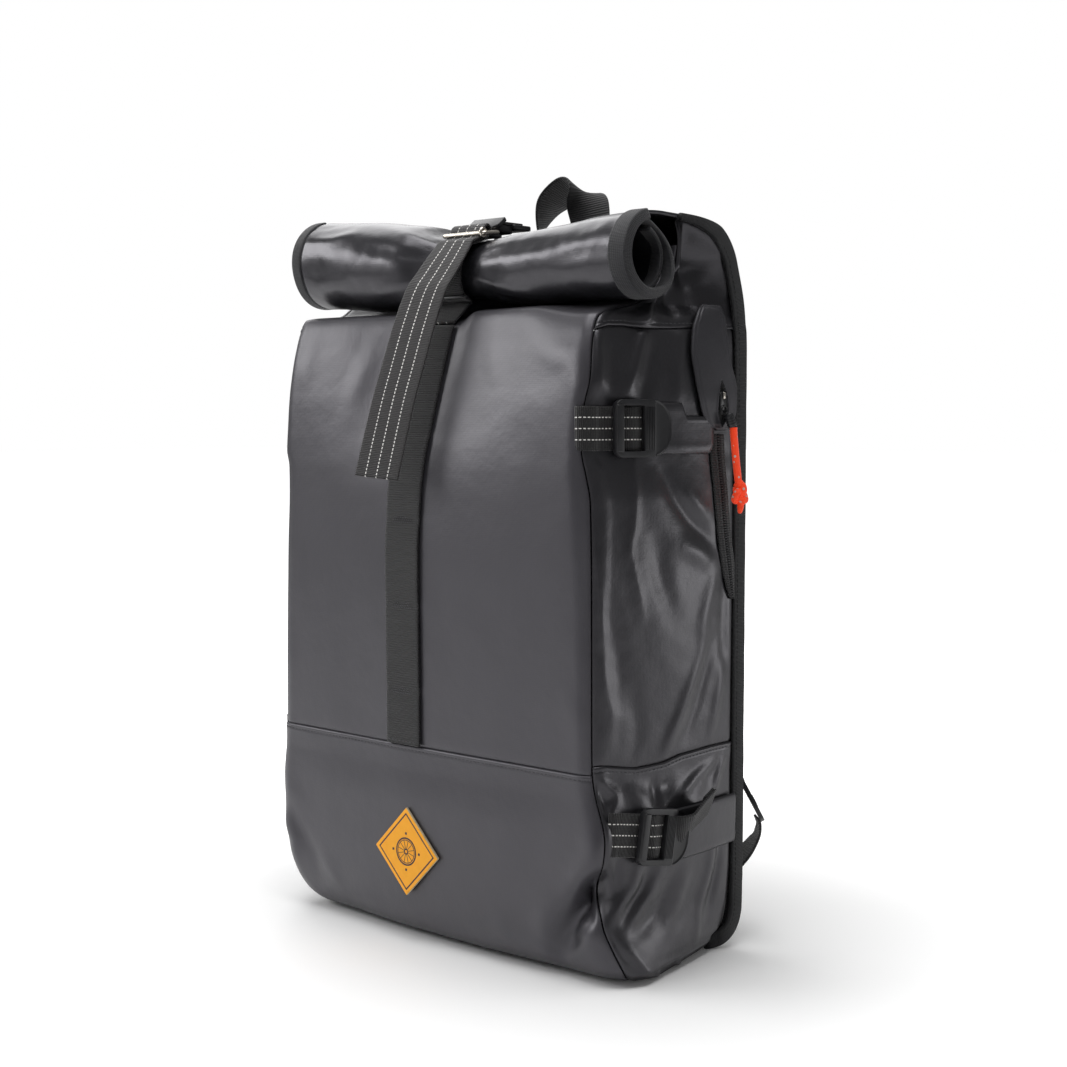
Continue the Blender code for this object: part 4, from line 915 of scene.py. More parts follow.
def body_cloth():
    body_panel("front_cloth", "front_panel", (1.51, 3.49), (FRONT_SEAM_Z + 0.1, 438.0),
               (CORNER_SEAM, CORNER_SEAM, TUCKED, NO_EDGE), front_height, TARPAULIN, "tarpaulin", 2.5)
    body_panel("base_front_cloth", "base_front", (1.51, 3.49), (0.6, FRONT_SEAM_Z + 0.9),
               (CORNER_SEAM, CORNER_SEAM, NO_EDGE, FOLDED), front_height, TARPAULIN, "tarpaulin", 2.5)
    for side, span, outer in (("right", (3.51, 4.995), 1), ("left", (0.005, 1.49), 0)):
        ends = (CORNER_SEAM, BOUND) if outer else (BOUND, CORNER_SEAM)
        guide = 4.0 if outer else 1.0
        body_panel("base_side_cloth_" + side, "base_side_" + side, span, (0.6, SIDE_SEAM_Z + 0.9),
                   (*ends, NO_EDGE, FOLDED), side_height, SHADED_SIDE_TARPAULIN, "side_tarpaulin", guide)
        body_panel("side_cloth_" + side, "side_panel_" + side, span, (SIDE_SEAM_Z + 0.1, COLLAR_SEAM_Z - 0.1),
                   (*ends, TUCKED, TUCKED), side_height, SHADED_SIDE_TARPAULIN, "side_tarpaulin", guide)
        body_panel("gusset_cloth_" + side, "collar_gusset_" + side, span, (COLLAR_SEAM_Z - 0.9, GUSSET_TOP_Z),
                   (*ends, FOLDED, NO_EDGE), side_height, SHADED_SIDE_TARPAULIN, "side_tarpaulin", guide)


def seam_run(height_of, span, z, lift, count=500):
    """Points and normals of a line of stitches at a height on the front or a side."""
    w = np.linspace(*span, count)
    heights = np.full(count, z)
    if height_of is side_height:
        heights = heights + seam_shift(w, heights)
    normals = skin_normals(w, heights)
    points = skin(w, heights) + normals * lift
    points += corner_shift(w, heights)
    points[..., 2] += brow(points)
    return points, normals


def seam_stitches():
    stitches("front_seam_stitches", [seam_run(front_height, (1.55, 3.45), FRONT_SEAM_Z - 2.0, 0.62)],
             THREAD, "webbing")
    for side, span in (("right", (3.56, 4.96)), ("left", (0.04, 1.44))):
        runs = [seam_run(side_height, span, SIDE_SEAM_Z - 2.0, 0.62),
                seam_run(side_height, span, COLLAR_SEAM_Z + 2.0, 0.62)]
        stitches("side_seam_stitches_" + side, runs, THREAD, "webbing")


def base_sole():
    """Flat bottom panel, with its turned edge inside the feet of the walls."""
    w = np.linspace(0, 5, 120)
    rim = skin(w, 0.6)
    out = unit(skin_normals(w, 0.6) * np.array((1, 1, 0)))
    back = np.linspace(rim[-1], rim[0], 40)[1:-1]
    rim = np.concatenate((rim, back))
    out = np.concatenate((out, np.tile((0.0, 1.0, 0.0), (len(back), 1))))
    middle = np.array((0.0, 4.0, 0.0))
    rings = []
    for share, inset, z in ((0.5, 3, 0.0), (0.93, 3, 0.0), (1, 3.4, 0.0), (1, 2.5, 0.5), (1, 2.2, 2.0)):
        ring = (rim - out * inset - middle) * share + middle
        ring[:, 2] = z
        rings.append(ring)
    points = np.array(rings)
    uv = np.concatenate((points, points[:, :1]), 1)[..., :2]
    return settle(tube("base_sole", points, uv, TARPAULIN), "tarpaulin", "base_plate")


# Flap, roll and the tapes that bind the edges

# Creases of the roll: places are X and the way round it at a radius of 27 mm, so that 47 is its
# top, 85 its front and 127 its underside
ROLL_FOLDS = (
    (((-22, 62), (-48, 56), (-84, 50)), 3.6, 1.7),
    (((-24, 74), (-50, 74), (-86, 70)), 5, -1.3),
    (((-24, 92), (-46, 96), (-74, 104)), 4.6, 1.5),
    (((-26, 106), (-46, 114), (-70, 122)), 4, -1.3),
    (((12, 60), (34, 54), (70, 50)), 3.6, 1.4),
    (((12, 74), (40, 70), (84, 70)), 5.5, -1),
    (((13, 92), (34, 98), (62, 108)), 4.6, 1.5),
    (((14, 106), (34, 114), (60, 120)), 4, -1.3),
    (((-137, 58), (-118, 52), (-100, 46)), 2.6, -1.8),
    (((-137, 70), (-112, 68), (-92, 62)), 4, 1.4),
    (((-136, 104), (-116, 98), (-94, 96)), 3.2, 1.6, "crest"),
    (((-136, 90), (-112, 86)), 4.5, -1.1),
    (((131, 60), (112, 56), (90, 52)), 4, 1.1),
    (((131, 84), (110, 82), (86, 84)), 5, -0.9),
    (((131, 104), (108, 104)), 5, 1),
)
# Creases of the flap behind the roll: X and height
FLAP_FOLDS = (
    (((30, 462), (66, 458), (120, 455)), 4, 1.4),
    (((-34, 460), (-66, 461), (-110, 466)), 4, 1.3),
    (((28, 446), (70, 442), (120, 436)), 5, -1.2),
    (((-30, 446), (-70, 446), (-120, 440)), 5, -1.2),
)


def roll_lift(x, s, points):
    """Creases of the roll and the flap; the inner turns follow the outer one."""
    turn = np.maximum(s - 2, 0)
    around = 27 * (FLAP_JOIN_ANGLE + TAU * (turn % 1))
    outer = folds(x, around, ROLL_FOLDS) + 0.35 * rumple(x, around, 34, 31) + 0.16 * rumple(x, around, 13, 32)
    on_roll = smoothstep(turn / 0.12) * np.where(turn > 1, smoothstep((1.9 - turn) / 0.9) * 0.5, 1)
    on_roll = on_roll * smoothstep((1.02 - turn) / 0.10 + (turn > 0.98) * 0.5)
    flap = folds(x, points[..., 2], FLAP_FOLDS) + 0.3 * rumple(x, points[..., 2], 38, 35)
    on_flap = smoothstep((s - 1.35) / 0.25) * smoothstep((2.08 - s) / 0.15)
    return outer * on_roll + flap * on_flap


def roll_cloth():
    fine = np.linspace(0.01, 2 + ROLL_TURNS, 3000)
    line = roll_points(60.0, fine)
    run = length_along(line)
    s = np.interp(np.linspace(0, run[-1], int(run[-1] / 2.3)), run, fine)
    share = np.linspace(1, 0, 124)
    s, share = np.meshgrid(s, share, indexing="ij")
    x = mix(flap_edge(-1, s), flap_edge(1, s) - 4 * smoothstep((s - 2.6) / 0.3), share)
    points = roll_points(x, s)
    normals = grid_normals(points)
    points = points + normals * roll_lift(x, s, points)[..., None]
    along = np.interp(s, fine, run)
    uv = np.stack((x, along), -1)
    obj = shell("roll_cloth", points, grid_normals(points), 2.2, uv, SHADED_ROLL_TARPAULIN)
    return settle(obj, "tarpaulin", "roll_top")


def rounded_outline(low_a, high_a, low_b, high_b, radius, steps=4):
    """Rectangle with round corners, anticlockwise, as points of a section."""
    points = []
    for a, b, first in ((high_a - radius, high_b - radius, 0), (low_a + radius, high_b - radius, 90),
                        (low_a + radius, low_b + radius, 180), (high_a - radius, low_b + radius, 270)):
        for n in range(steps + 1):
            turn = math.radians(first + 90 * n / steps)
            points.append((a + radius * math.cos(turn), b + radius * math.sin(turn)))
    return np.array(points)


def roll_tapes():
    """Tape folded over the cloth's side edges, wound up with it at each end of the roll."""
    for side, outer, inner in (("right", ROLL_ROWS[-1][0], ROLL_RIGHT), ("left", ROLL_ROWS[0][0], ROLL_LEFT)):
        hand = 1 if side == "right" else -1
        turn = np.linspace(0.0, ROLL_TURNS, 260)
        angle = FLAP_JOIN_ANGLE + TAU * turn
        x_end = np.full(turn.shape, (outer + inner) / 2)
        reach = roll_column("radius", x_end) - ROLL_PITCH * turn + 0.35 * smoothstep((1 - turn) / 0.1)
        wobble = 0.35 * np.sin(angle * 3 + 1.3) + 0.2 * np.sin(angle * 5)
        out = np.stack((np.zeros(turn.shape), np.cos(angle), np.sin(angle)), -1)
        centre = np.stack((np.zeros(turn.shape), roll_column("y", x_end), roll_column("z", x_end)), -1)
        section = rounded_outline(-4.6, 4.4, -2.95, 0.1, 1.35)
        flare = 1 - smoothstep((turn - 0.50) / 0.14)
        flare = flare[:, None] if hand > 0 else 0 * flare[:, None]
        outer_side = section[:, 0][None] > 0
        deep = section[:, 1][None] < -1.4
        a = section[:, 0][None] - 4.2 * flare * (section[:, 0][None] < 0) + 1.2 * flare * outer_side * deep
        b = section[:, 1][None] - 3.6 * flare * outer_side * deep
        sunk = 8.5 * smoothstep((turn - 0.60) / 0.3)[:, None] if hand > 0 else 0
        x = x_end[:, None] + hand * (a - sunk + 0.6 * wobble[:, None])
        rings = centre[:, None] + out[:, None] * (reach[:, None] + b + 0.35 * wobble[:, None])[..., None]
        rings[..., 0] = x
        if hand < 0:
            rings = rings[:, ::-1]
        run = length_along(rings[:, 0])
        around = np.append(length_along(section), 24.0)
        uv = map_of(around, run)
        rings = rings[:, ::-1]
        settle(tube("roll_tape_" + side, rings, uv, ROLL_TAPE), "binding", "roll_binding_" + side)


def tape_frames(hand, s):
    """Outer line of an edge tape and the way out of the back, for rows s of SPINE."""
    pinch = BASE_PINCH * np.maximum(0, 1 - s / BASE_PINCH_ROWS) ** 2
    low = spine_points(np.minimum(s, FLAP_START))
    x_low = hand * (BACK_HALF_WIDTH + GAP) * (1 - pinch) + hand * 1.1 * np.clip(BASE_PINCH_ROWS + 1 - s, 0, 1)
    high_s = np.maximum(s - FLAP_START, 0)
    x_high = flap_edge(hand, high_s) + hand * GAP
    high = roll_points(x_high, high_s)
    on_flap = s >= FLAP_START
    points = np.stack((np.where(on_flap, x_high, x_low), np.where(on_flap, high[..., 1], low[..., 0]),
                       np.where(on_flap, high[..., 2], low[..., 1])), -1)
    ahead = np.gradient(points, axis=0)
    out = unit(np.stack((np.zeros(s.shape), ahead[:, 2], -ahead[:, 1]), -1))
    return points, out


def edge_tapes():
    """Tape sewn over the seam between the sides and the back, from the ground to the roll."""
    for hand, side in ((1, "right"), (-1, "left")):
        points, out = tape_frames(hand, np.linspace(0, 10.6, 900))
        run = length_along(points)
        at = np.linspace(0, run[-1], int(run[-1] / 2.0))
        s = np.interp(at, run, np.linspace(0, 10.6, 900))
        points, out = tape_frames(hand, s)
        first, last = FLAP_NARROWS
        taper = 1 - 0.6 * smoothstep((s - FLAP_START + 0.1 - first) / (last - first))
        section = rounded_outline(-BINDING_WIDTH, 0.15, 0.0, BINDING_THICK, 1.25)
        puff = 0.28 * np.sin(at / 9.0) * np.sin(at / 23.0 + 1) + 0.15 * np.sin(at / 4.1)
        depth = section[:, 0][None] * taper[:, None]
        groove = 0.35 * np.exp(-((section[:, 0][None] + 8.4) / 0.9) ** 2)
        proud = section[:, 1][None] * (1 + 0.12 * puff[:, None]) - groove
        rings = points[:, None] + out[:, None] * depth[..., None]
        rings[..., 0] += hand * proud
        around = np.append(length_along(section), 29.0)
        uv = map_of(around, at)
        if hand < 0:
            rings = rings[:, ::-1]
        settle(tube("edge_tape_" + side, rings, uv, SHADED_BINDING_TAPE), "binding",
               "edge_binding_" + side)
        line = points - out * (8.4 * taper[:, None]) + np.array((hand, 0, 0)) * (BINDING_THICK + 0.05)
        normals = np.tile((float(hand), 0.0, 0.0), (len(line), 1))
        keep = slice(2, int(len(line) * 0.93))
        stitches("edge_tape_stitches_" + side, [(line[keep], normals[keep])], BLACK_THREAD, "webbing")


# Webbing and hardware on the front

def side_spot(hand, y, z, lift=0.0):
    """Points above a side's skin at depths and heights, with their normals."""
    w = side_place(hand, y, z)
    normals = skin_normals(w, np.broadcast_to(z, w.shape))
    return skin(w, z) + normals * np.asarray(lift)[..., None], normals


def front_spot(x, z, lift=0.0):
    w = front_place(x, z)
    normals = skin_normals(w, np.broadcast_to(z, w.shape))
    return skin(w, z) + normals * np.asarray(lift)[..., None], normals


TACKS = (161.5, 216.0, 270.0, 324.0)


def daisy_chain():
    """Webbing sewn down the middle of the front, tacked across so that it forms loops."""
    heights = np.arange(FRONT_SEAM_Z + 1.4, CHAIN_TOP_Z + 2, 1.3)
    bow = 0.35 * np.ones(heights.shape)
    for tack in TACKS:
        bow -= 0.55 * np.exp(-((heights - tack) / 3.2) ** 2)
    path, normals = front_spot(np.full(heights.shape, CHAIN_X), heights, CHAIN_LIFT + WEBBING / 2 + bow)
    ahead, _ = front_spot(np.full(heights.shape, CHAIN_X + 5), heights, 0)
    behind, _ = front_spot(np.full(heights.shape, CHAIN_X - 5), heights, 0)
    obj = ribbon("daisy_chain_webbing", path, unit(ahead - behind), strip_section(STRAP_WIDTH, WEBBING, 16),
                 PLAIN_WEBBING)
    settle(obj, "webbing", "daisy_chain")
    runs = []
    for tack in TACKS[:3]:
        for row, off in enumerate((-1.5, 0, 1.5)):
            x = CHAIN_X + np.linspace(-9.5 + row, 9.5 - row, 20)
            points, out = front_spot(x, np.full(20, tack + off), CHAIN_LIFT + WEBBING - 0.08)
            runs.append((points, out))
    stitches("daisy_chain_tacks", runs, THREAD, "webbing", pitch=1.7, length=1.5, thick=0.26)
    points, out = front_spot(CHAIN_X + np.linspace(-14, 14, 30), np.full(30, FRONT_SEAM_Z + 3.6),
                             CHAIN_LIFT + WEBBING + 0.3)
    stitches("daisy_chain_foot_stitches", [(points, out)], THREAD, "webbing")


def closing_strap_line():
    """Middle line of the closing strap and its across vectors, as the solid has them."""
    lift = GAP + 0.6 + WEBBING / 2
    foot, normal = front_spot(np.array([CHAIN_X]), np.array([CHAIN_TOP_Z + 2.5]), lift + 0.6)
    run = [foot[0]]
    for s in (0.40, 0.35, 0.30, 0.25, 0.20, 0.15, 0.10):
        x = mix(STRAP_TOP_X, CHAIN_X, s / 0.4)
        axis = np.array((x, roll_column("y", x), roll_column("z", x)))
        edges = [roll_points(x + side * STRAP_WIDTH / 2, 2 + s) for side in (-1, 1)]
        outer = max(np.linalg.norm((edge - axis)[1:]) for edge in edges)
        run.append(axis + unit((roll_points(x, 2 + s) - axis)) * (outer + lift))
    run += [np.array(p) for p in ((-6, -18.5, 447.0), (-5.6, -13.6, 449.0), (-5.2, -11.0, 452.0),
                                   (-5.0, -11.0, 455.6),
                                  (-5.0, -13.4, 457.6), (-5.2, -16.0, 455.6), (-5.6, -17.6, 452.0),
                                   (-6, -20.6, 448.6))]
    table = np.array(TAIL_ROWS)
    tail = smooth_path(table[:, :3], 60)
    yaw = np.radians(smooth_path(table[:, 3:4], 60)[:, 0])
    path = np.concatenate((smooth_path(run, 90), tail))
    across = np.concatenate((np.tile((1.0, 0, 0), (90, 1)),
                             np.stack((np.cos(yaw), np.sin(yaw), 0 * yaw), -1)))
    both = resample(np.concatenate((path, across), 1), 1.2)
    return both[:, :3], unit(both[:, 3:])


def closing_strap():
    """Strap with bright dashes: up over the roll, folded behind the ring's bar, and down in front."""
    path, across = closing_strap_line()
    section = strip_section(STRAP_WIDTH, WEBBING, 20)
    obj = ribbon("closing_strap_webbing", path, across, section, STRAP_WEBBING)
    obj.data.materials.append(PLAIN_WEBBING)
    hidden = int(np.argmax(path[:, 2])) * len(section)
    index = np.zeros(len(obj.data.polygons), np.int32)
    index[:hidden] = 1
    obj.data.polygons.foreach_set("material_index", index)
    settle(obj, "webbing", "closing_strap")


def deselect():
    bpy.ops.object.select_all(action="DESELECT")


def block(name, size, place=(0, 0, 0)):
    """Cube of a size in millimetres, to be shaped."""
    deselect()
    bpy.ops.mesh.primitive_cube_add(size=1)
    obj = bpy.context.object
    obj.name = obj.data.name = name
    obj.scale = [v * MM for v in size]
    obj.location = [v * MM for v in place]
    bpy.ops.object.transform_apply(location=True, rotation=True, scale=True)
    return obj


def edit(obj, kind):
    """Open a piece in edit mode with nothing selected, and return its mesh."""
    deselect()
    obj.select_set(True)
    bpy.context.view_layer.objects.active = obj
    bpy.ops.object.mode_set(mode="EDIT")
    bpy.ops.mesh.select_mode(type=kind)
    bpy.ops.mesh.select_all(action="DESELECT")
    return bmesh.from_edit_mesh(obj.data)


def close():
    bpy.ops.object.mode_set(mode="OBJECT")


def pick(mesh, kind, test):
    """Select edges or faces by a test of their middle in millimetres and their direction."""
    if kind == "EDGE":
        for edge in mesh.edges:
            a, b = (v.co for v in edge.verts)
            edge.select_set(bool(test((a + b) / 2 / MM, (b - a).normalized())))
    else:
        for face in mesh.faces:
            face.select_set(bool(test(face.calc_center_median() / MM, face.normal)))


def soften(obj, width, segments=2, angle=35):
    """Round a piece's edges and shade it smooth."""
    bevel = obj.modifiers.new("soft edges", "BEVEL")
    bevel.width = width * MM
    bevel.segments = segments
    bevel.angle_limit = math.radians(angle)
    bevel.harden_normals = False
    deselect()
    obj.select_set(True)
    bpy.context.view_layer.objects.active = obj
    bpy.ops.object.modifier_apply(modifier=bevel.name)
    bpy.ops.object.shade_smooth_by_angle(angle=math.radians(40))
    return obj


def joined(name, parts):
    deselect()
    for part in parts:
        part.select_set(True)
    bpy.context.view_layer.objects.active = parts[0]
    bpy.ops.object.join()
    parts[0].name = parts[0].data.name = name
    return parts[0]


def basis(origin, x_axis, z_axis):
    """Matrix in metres with its origin in millimetres and two of its axes."""
    x_axis, z_axis = Vector(x_axis).normalized(), Vector(z_axis)
    y_axis = z_axis.cross(x_axis).normalized()
    rotation = Matrix((x_axis, y_axis, x_axis.cross(y_axis).normalized())).transposed()
    return Matrix.Translation(Vector(origin) * MM) @ rotation.to_4x4()


LOCK_HALF = 20.0


def lock_shape():
    """Ladder lock lying flat: a square frame end at -X, a window, a ridged bar and a round lever."""
    body = block("lock", (2 * LOCK_HALF, 34, 4))
    mesh = edit(body, "EDGE")
    pick(mesh, "EDGE", lambda m, d: abs(d.z) > 0.9 and m.x > 0)
    bpy.ops.mesh.bevel(offset=14.5 * MM, segments=10, affect="EDGES")
    mesh = bmesh.from_edit_mesh(body.data)
    pick(mesh, "EDGE", lambda m, d: abs(d.z) > 0.9 and m.x < 0.5 - LOCK_HALF)
    bpy.ops.mesh.bevel(offset=5.5 * MM, segments=6, affect="EDGES")
    for co, no in (((-14, 0, 0), (1, 0, 0)), ((0.7, 0, 0), (1, 0, 0)), ((8.2, 0, 0), (1, 0, 0)),
                   ((0, 13.4, 0), (0, 1, 0)), ((0, -13.4, 0), (0, 1, 0))):
        bpy.ops.mesh.select_all(action="SELECT")
        bpy.ops.mesh.bisect(plane_co=[v * MM for v in co], plane_no=no)
    bpy.ops.mesh.select_mode(type="FACE")
    mesh = bmesh.from_edit_mesh(body.data)
    pick(mesh, "FACE", lambda m, n: abs(n.z) > 0.9 and -14 < m.x < 0.7 and abs(m.y) < 13.3)
    bpy.ops.mesh.delete(type="FACE")
    bpy.ops.mesh.select_mode(type="EDGE")
    mesh = bmesh.from_edit_mesh(body.data)
    for edge in mesh.edges:
        edge.select_set(edge.is_boundary)
    bpy.ops.mesh.bridge_edge_loops()
    # The lever's top sinks inside a narrow rim
    bpy.ops.mesh.select_mode(type="FACE")
    mesh = bmesh.from_edit_mesh(body.data)
    pick(mesh, "FACE", lambda m, n: n.z > 0.9 and m.x > 8.3)
    bpy.ops.mesh.inset(thickness=1.0 * MM)
    bpy.ops.transform.translate(value=(0, 0, -0.9 * MM))
    close()
    soften(body, 0.6, 3)
    ridges = [soften(block("ridge", (0.75, 25.5, 1.2), (1.55 + 1.15 * n, 0, 1.9)), 0.3, 2) for n in range(6)]
    bar = block("front bar", (5.2, 28, 1.8), (-16.9, 0, 1.9))
    soften(bar, 0.85, 4)
    return joined("lock", [body, *ridges, bar])


UPPER_STRAP = {"lock_y": -20.5, "lock_z": 328.0, "rise": 0.0, "wing_end": 34.0}
LOWER_STRAP = {"lock_y": -17.0, "lock_z": 86.5, "rise": -0.16, "wing_end": 59.0}
STRAP_LIFT, WING_THICK = 0.7, 1.1


def strap_middle(strap, y):
    return strap["lock_z"] + np.minimum(y - strap["lock_y"], 12.0) * strap["rise"]


def lock_place(hand, strap):
    """Where a side strap's lock sits, along the strap and level with the skin."""
    lock_y = strap["lock_y"]
    point, normal = side_spot(hand, np.array(lock_y), np.array(strap["lock_z"]))
    back, _ = side_spot(hand, np.array(lock_y + 12), np.array(strap_middle(strap, lock_y + 12)))
    front, _ = side_spot(hand, np.array(lock_y - 12), np.array(strap_middle(strap, lock_y - 12)))
    along = unit(back - front)
    out = unit(normal - along * np.dot(normal, along))
    return basis(point + out * (STRAP_LIFT + WEBBING + 0.7 + 2.0), along, out)


def placed_copy(source, name, matrix):
    mesh = source.data.copy()
    mesh.name = name
    mesh.transform(matrix)
    obj = bpy.data.objects.new(name, mesh)
    bpy.context.collection.objects.link(obj)
    return obj


def side_straps(lock):
    """Side webbing out of the front corner, through its lock, and the wing it is sewn to."""
    for hand, side in ((1, "right"), (-1, "left")):
        for level, strap in (("upper", UPPER_STRAP), ("lower", LOWER_STRAP)):
            name = level + "_" + side
            start = float(body_column("corner_y", strap["lock_z"])) + 1.4
            lock_y = strap["lock_y"]
            if hand < 0:
                start += 16
            elif strap is LOWER_STRAP:
                start += 7
            y = np.arange(start, lock_y + 5.0, 1.0)
            z = strap_middle(strap, y)
            local = y - lock_y
            rise = (1.9 * np.exp(-((local + 6.5) / 5.0) ** 2)
                    + 0.3 * np.sin(np.clip((y - start) / 14, 0, 1) * math.pi))
            start_dip = -1.3 * np.exp(-(y - start) / 1.6)
            path, normals = side_spot(hand, y, z, STRAP_LIFT + WEBBING / 2 + rise + start_dip)
            up = np.tile((0.0, 0.0, 1.0), (len(y), 1))
            obj = ribbon("side_webbing_" + name, path, up, strip_section(SIDE_STRAP_WIDTH, WEBBING, 16),
                         SIDE_WEBBING)
            settle(obj, "webbing", "strap_" + name)
            wing(hand, strap, name)
            piece = placed_copy(lock, "ladder_lock_" + name, lock_place(hand, strap))
            settle(piece, "plastic", "lock_" + name)


def wing_half(strap, y):
    """Half the height of a wing: the upper ones step down to a strip, the lower ones stay wide."""
    full = SIDE_STRAP_WIDTH / 2 + 2
    if strap is LOWER_STRAP:
        return np.full(np.shape(y), full), np.full(np.shape(y), full)
    step = smoothstep((y - 9) / 5)
    end = np.sqrt(np.clip(1 - np.clip(1 - (strap["wing_end"] + 4 - y) / 6, 0, 1) ** 2, 0.04, 1))
    return full * (1 - 0.55 * step) * end, full * end


def wing(hand, strap, name):
    """Tarpaulin tab that holds the lock's rear bar and is sewn down behind it."""
    end = strap["wing_end"] + (1.5 if strap is LOWER_STRAP else 4)
    y = np.arange(strap["lock_y"] + 6, end + 0.1, 1.2)
    share = np.linspace(-1, 1, 25)
    above, below = wing_half(strap, y)
    y_grid, share = np.meshgrid(y, share, indexing="ij")
    height = np.where(share > 0, share * above[:, None], share * below[:, None])
    z = strap_middle(strap, y_grid) + height
    edge = (1 - np.abs(share)) * below[:, None]
    if strap is UPPER_STRAP:
        edge = np.minimum(edge, end - y_grid)
    lift = (STRAP_LIFT + WING_THICK + 0.25 - 0.8 * np.exp(-edge / 0.9)
            + 0.1 * np.exp(-((edge - 4.5) / 1.5) ** 2))
    points, normals = side_spot(hand, y_grid, z, lift)
    if hand < 0:
        points = points[:, ::-1]
    uv = np.stack((y_grid, height), -1)
    obj = shell("wing_cloth_" + name, points, grid_normals(points), WING_THICK, uv, SHADED_SIDE_TARPAULIN)
    settle(obj, "side_tarpaulin", "wing_" + name)
    runs = []
    for side in (-1, 1):
        line_y = np.arange(strap["lock_y"] + 20, end - 2, 1.0)
        tall = wing_half(strap, line_y)[0 if side > 0 else 1] - 2.0
        line, out = side_spot(hand, line_y, strap_middle(strap, line_y) + side * tall,
                              STRAP_LIFT + WING_THICK + 0.25)
        runs.append((line, out))
    stitches("wing_stitches_" + name, runs, BLACK_THREAD, "webbing", pitch=3.0, length=2.1, thick=0.22)


def loose_tail():
    """Free end of the lower right webbing: out of its lock, back over the wing and folded over."""
    y = np.array((-9.0, -4.0, 2.0, 8.0, 13.0, 18.5, 24.0))
    z = np.array((86.0, 87.0, 89.5, 92.5, 95.0, 97.5, 100.0))
    points, normals = side_spot(1, y, z, np.array((5.0, 6.6, 7.6, 8.0, 8.2, 8.4, 8.6)))
    path = resample(smooth_path(points, 300), 1.2)
    ahead = unit(np.gradient(path, axis=0))
    _, out = side_spot(1, path[:, 1], path[:, 2])
    run = np.linspace(0, 1, len(path))[:, None]
    tilt = np.radians(38) * smoothstep(run / 0.45)
    up = unit(np.cross(out, np.array((0.0, 0.9, 0.3))))
    up = up * np.sign(up[:, 2:3])
    across = up * np.cos(tilt) + out * np.sin(tilt)
    across = unit(across - ahead * np.sum(across * ahead, axis=1, keepdims=True))
    settle(ribbon("side_webbing_tail", path, across, strip_section(SIDE_STRAP_WIDTH - 2, WEBBING, 16),
                  PLAIN_WEBBING), "webbing")
    # Its end is folded over and sewn
    turn = np.cross(ahead, across)
    hem = path[-9:] + turn[-9:] * WEBBING * np.sign(turn[-9:, 2:3])
    settle(ribbon("side_webbing_tail_hem", hem, across[-9:], strip_section(SIDE_STRAP_WIDTH - 2, WEBBING, 16),
                  PLAIN_WEBBING), "webbing")


def wire_ring():
    """Wire bent into a flat ring: the strap turns on its front bar."""
    deselect()
    bpy.ops.mesh.primitive_plane_add(size=1)
    obj = bpy.context.object
    obj.scale = (36 * MM, 14.58 * MM, 1)
    bpy.ops.object.transform_apply(location=True, rotation=True, scale=True)
    edit(obj, "VERT")
    bpy.ops.mesh.select_all(action="SELECT")
    bpy.ops.mesh.bevel(offset=2.4 * MM, segments=6, affect="VERTICES")
    bpy.ops.mesh.delete(type="ONLY_FACE")
    close()
    bpy.ops.object.convert(target="CURVE")
    obj.data.bevel_depth = RING_WIRE * MM
    obj.data.bevel_resolution = 4
    obj.data.resolution_u = 4
    bpy.ops.object.convert(target="MESH")
    obj.name = obj.data.name = "wire_ring"
    lean = Vector((0, 14.5, 1.5)).normalized()
    place = basis((STRAP_TOP_X, RING_Y + lean.y * 7.29, RING_Z + lean.z * 7.29), (1, 0, 0),
                  Vector((1, 0, 0)).cross(lean))
    obj.data.transform(place)
    obj.data.materials.append(STEEL)
    bpy.ops.object.shade_smooth_by_angle(angle=math.radians(50))
    settle(obj, "steel", "steel_ring")
    # The wire's end curls round the ring's right corner
    deselect()
    bpy.ops.mesh.primitive_torus_add(major_radius=2.5 * MM, minor_radius=1.0 * MM, major_segments=28,
                                     minor_segments=10)
    curl = bpy.context.object
    curl.name = curl.data.name = "wire_ring_curl"
    curl.data.transform(Matrix.Rotation(math.radians(90), 4, "Y"))
    curl.data.transform(Matrix.Translation(Vector((STRAP_TOP_X + 16.6, RING_Y + 1.2, RING_Z + 0.4)) * MM))
    curl.data.materials.append(STEEL)
    bpy.ops.object.shade_smooth_by_angle(angle=math.radians(50))
    settle(curl, "steel")


HOOK_X_LOW, HOOK_X_HIGH = -20.0, 8.0


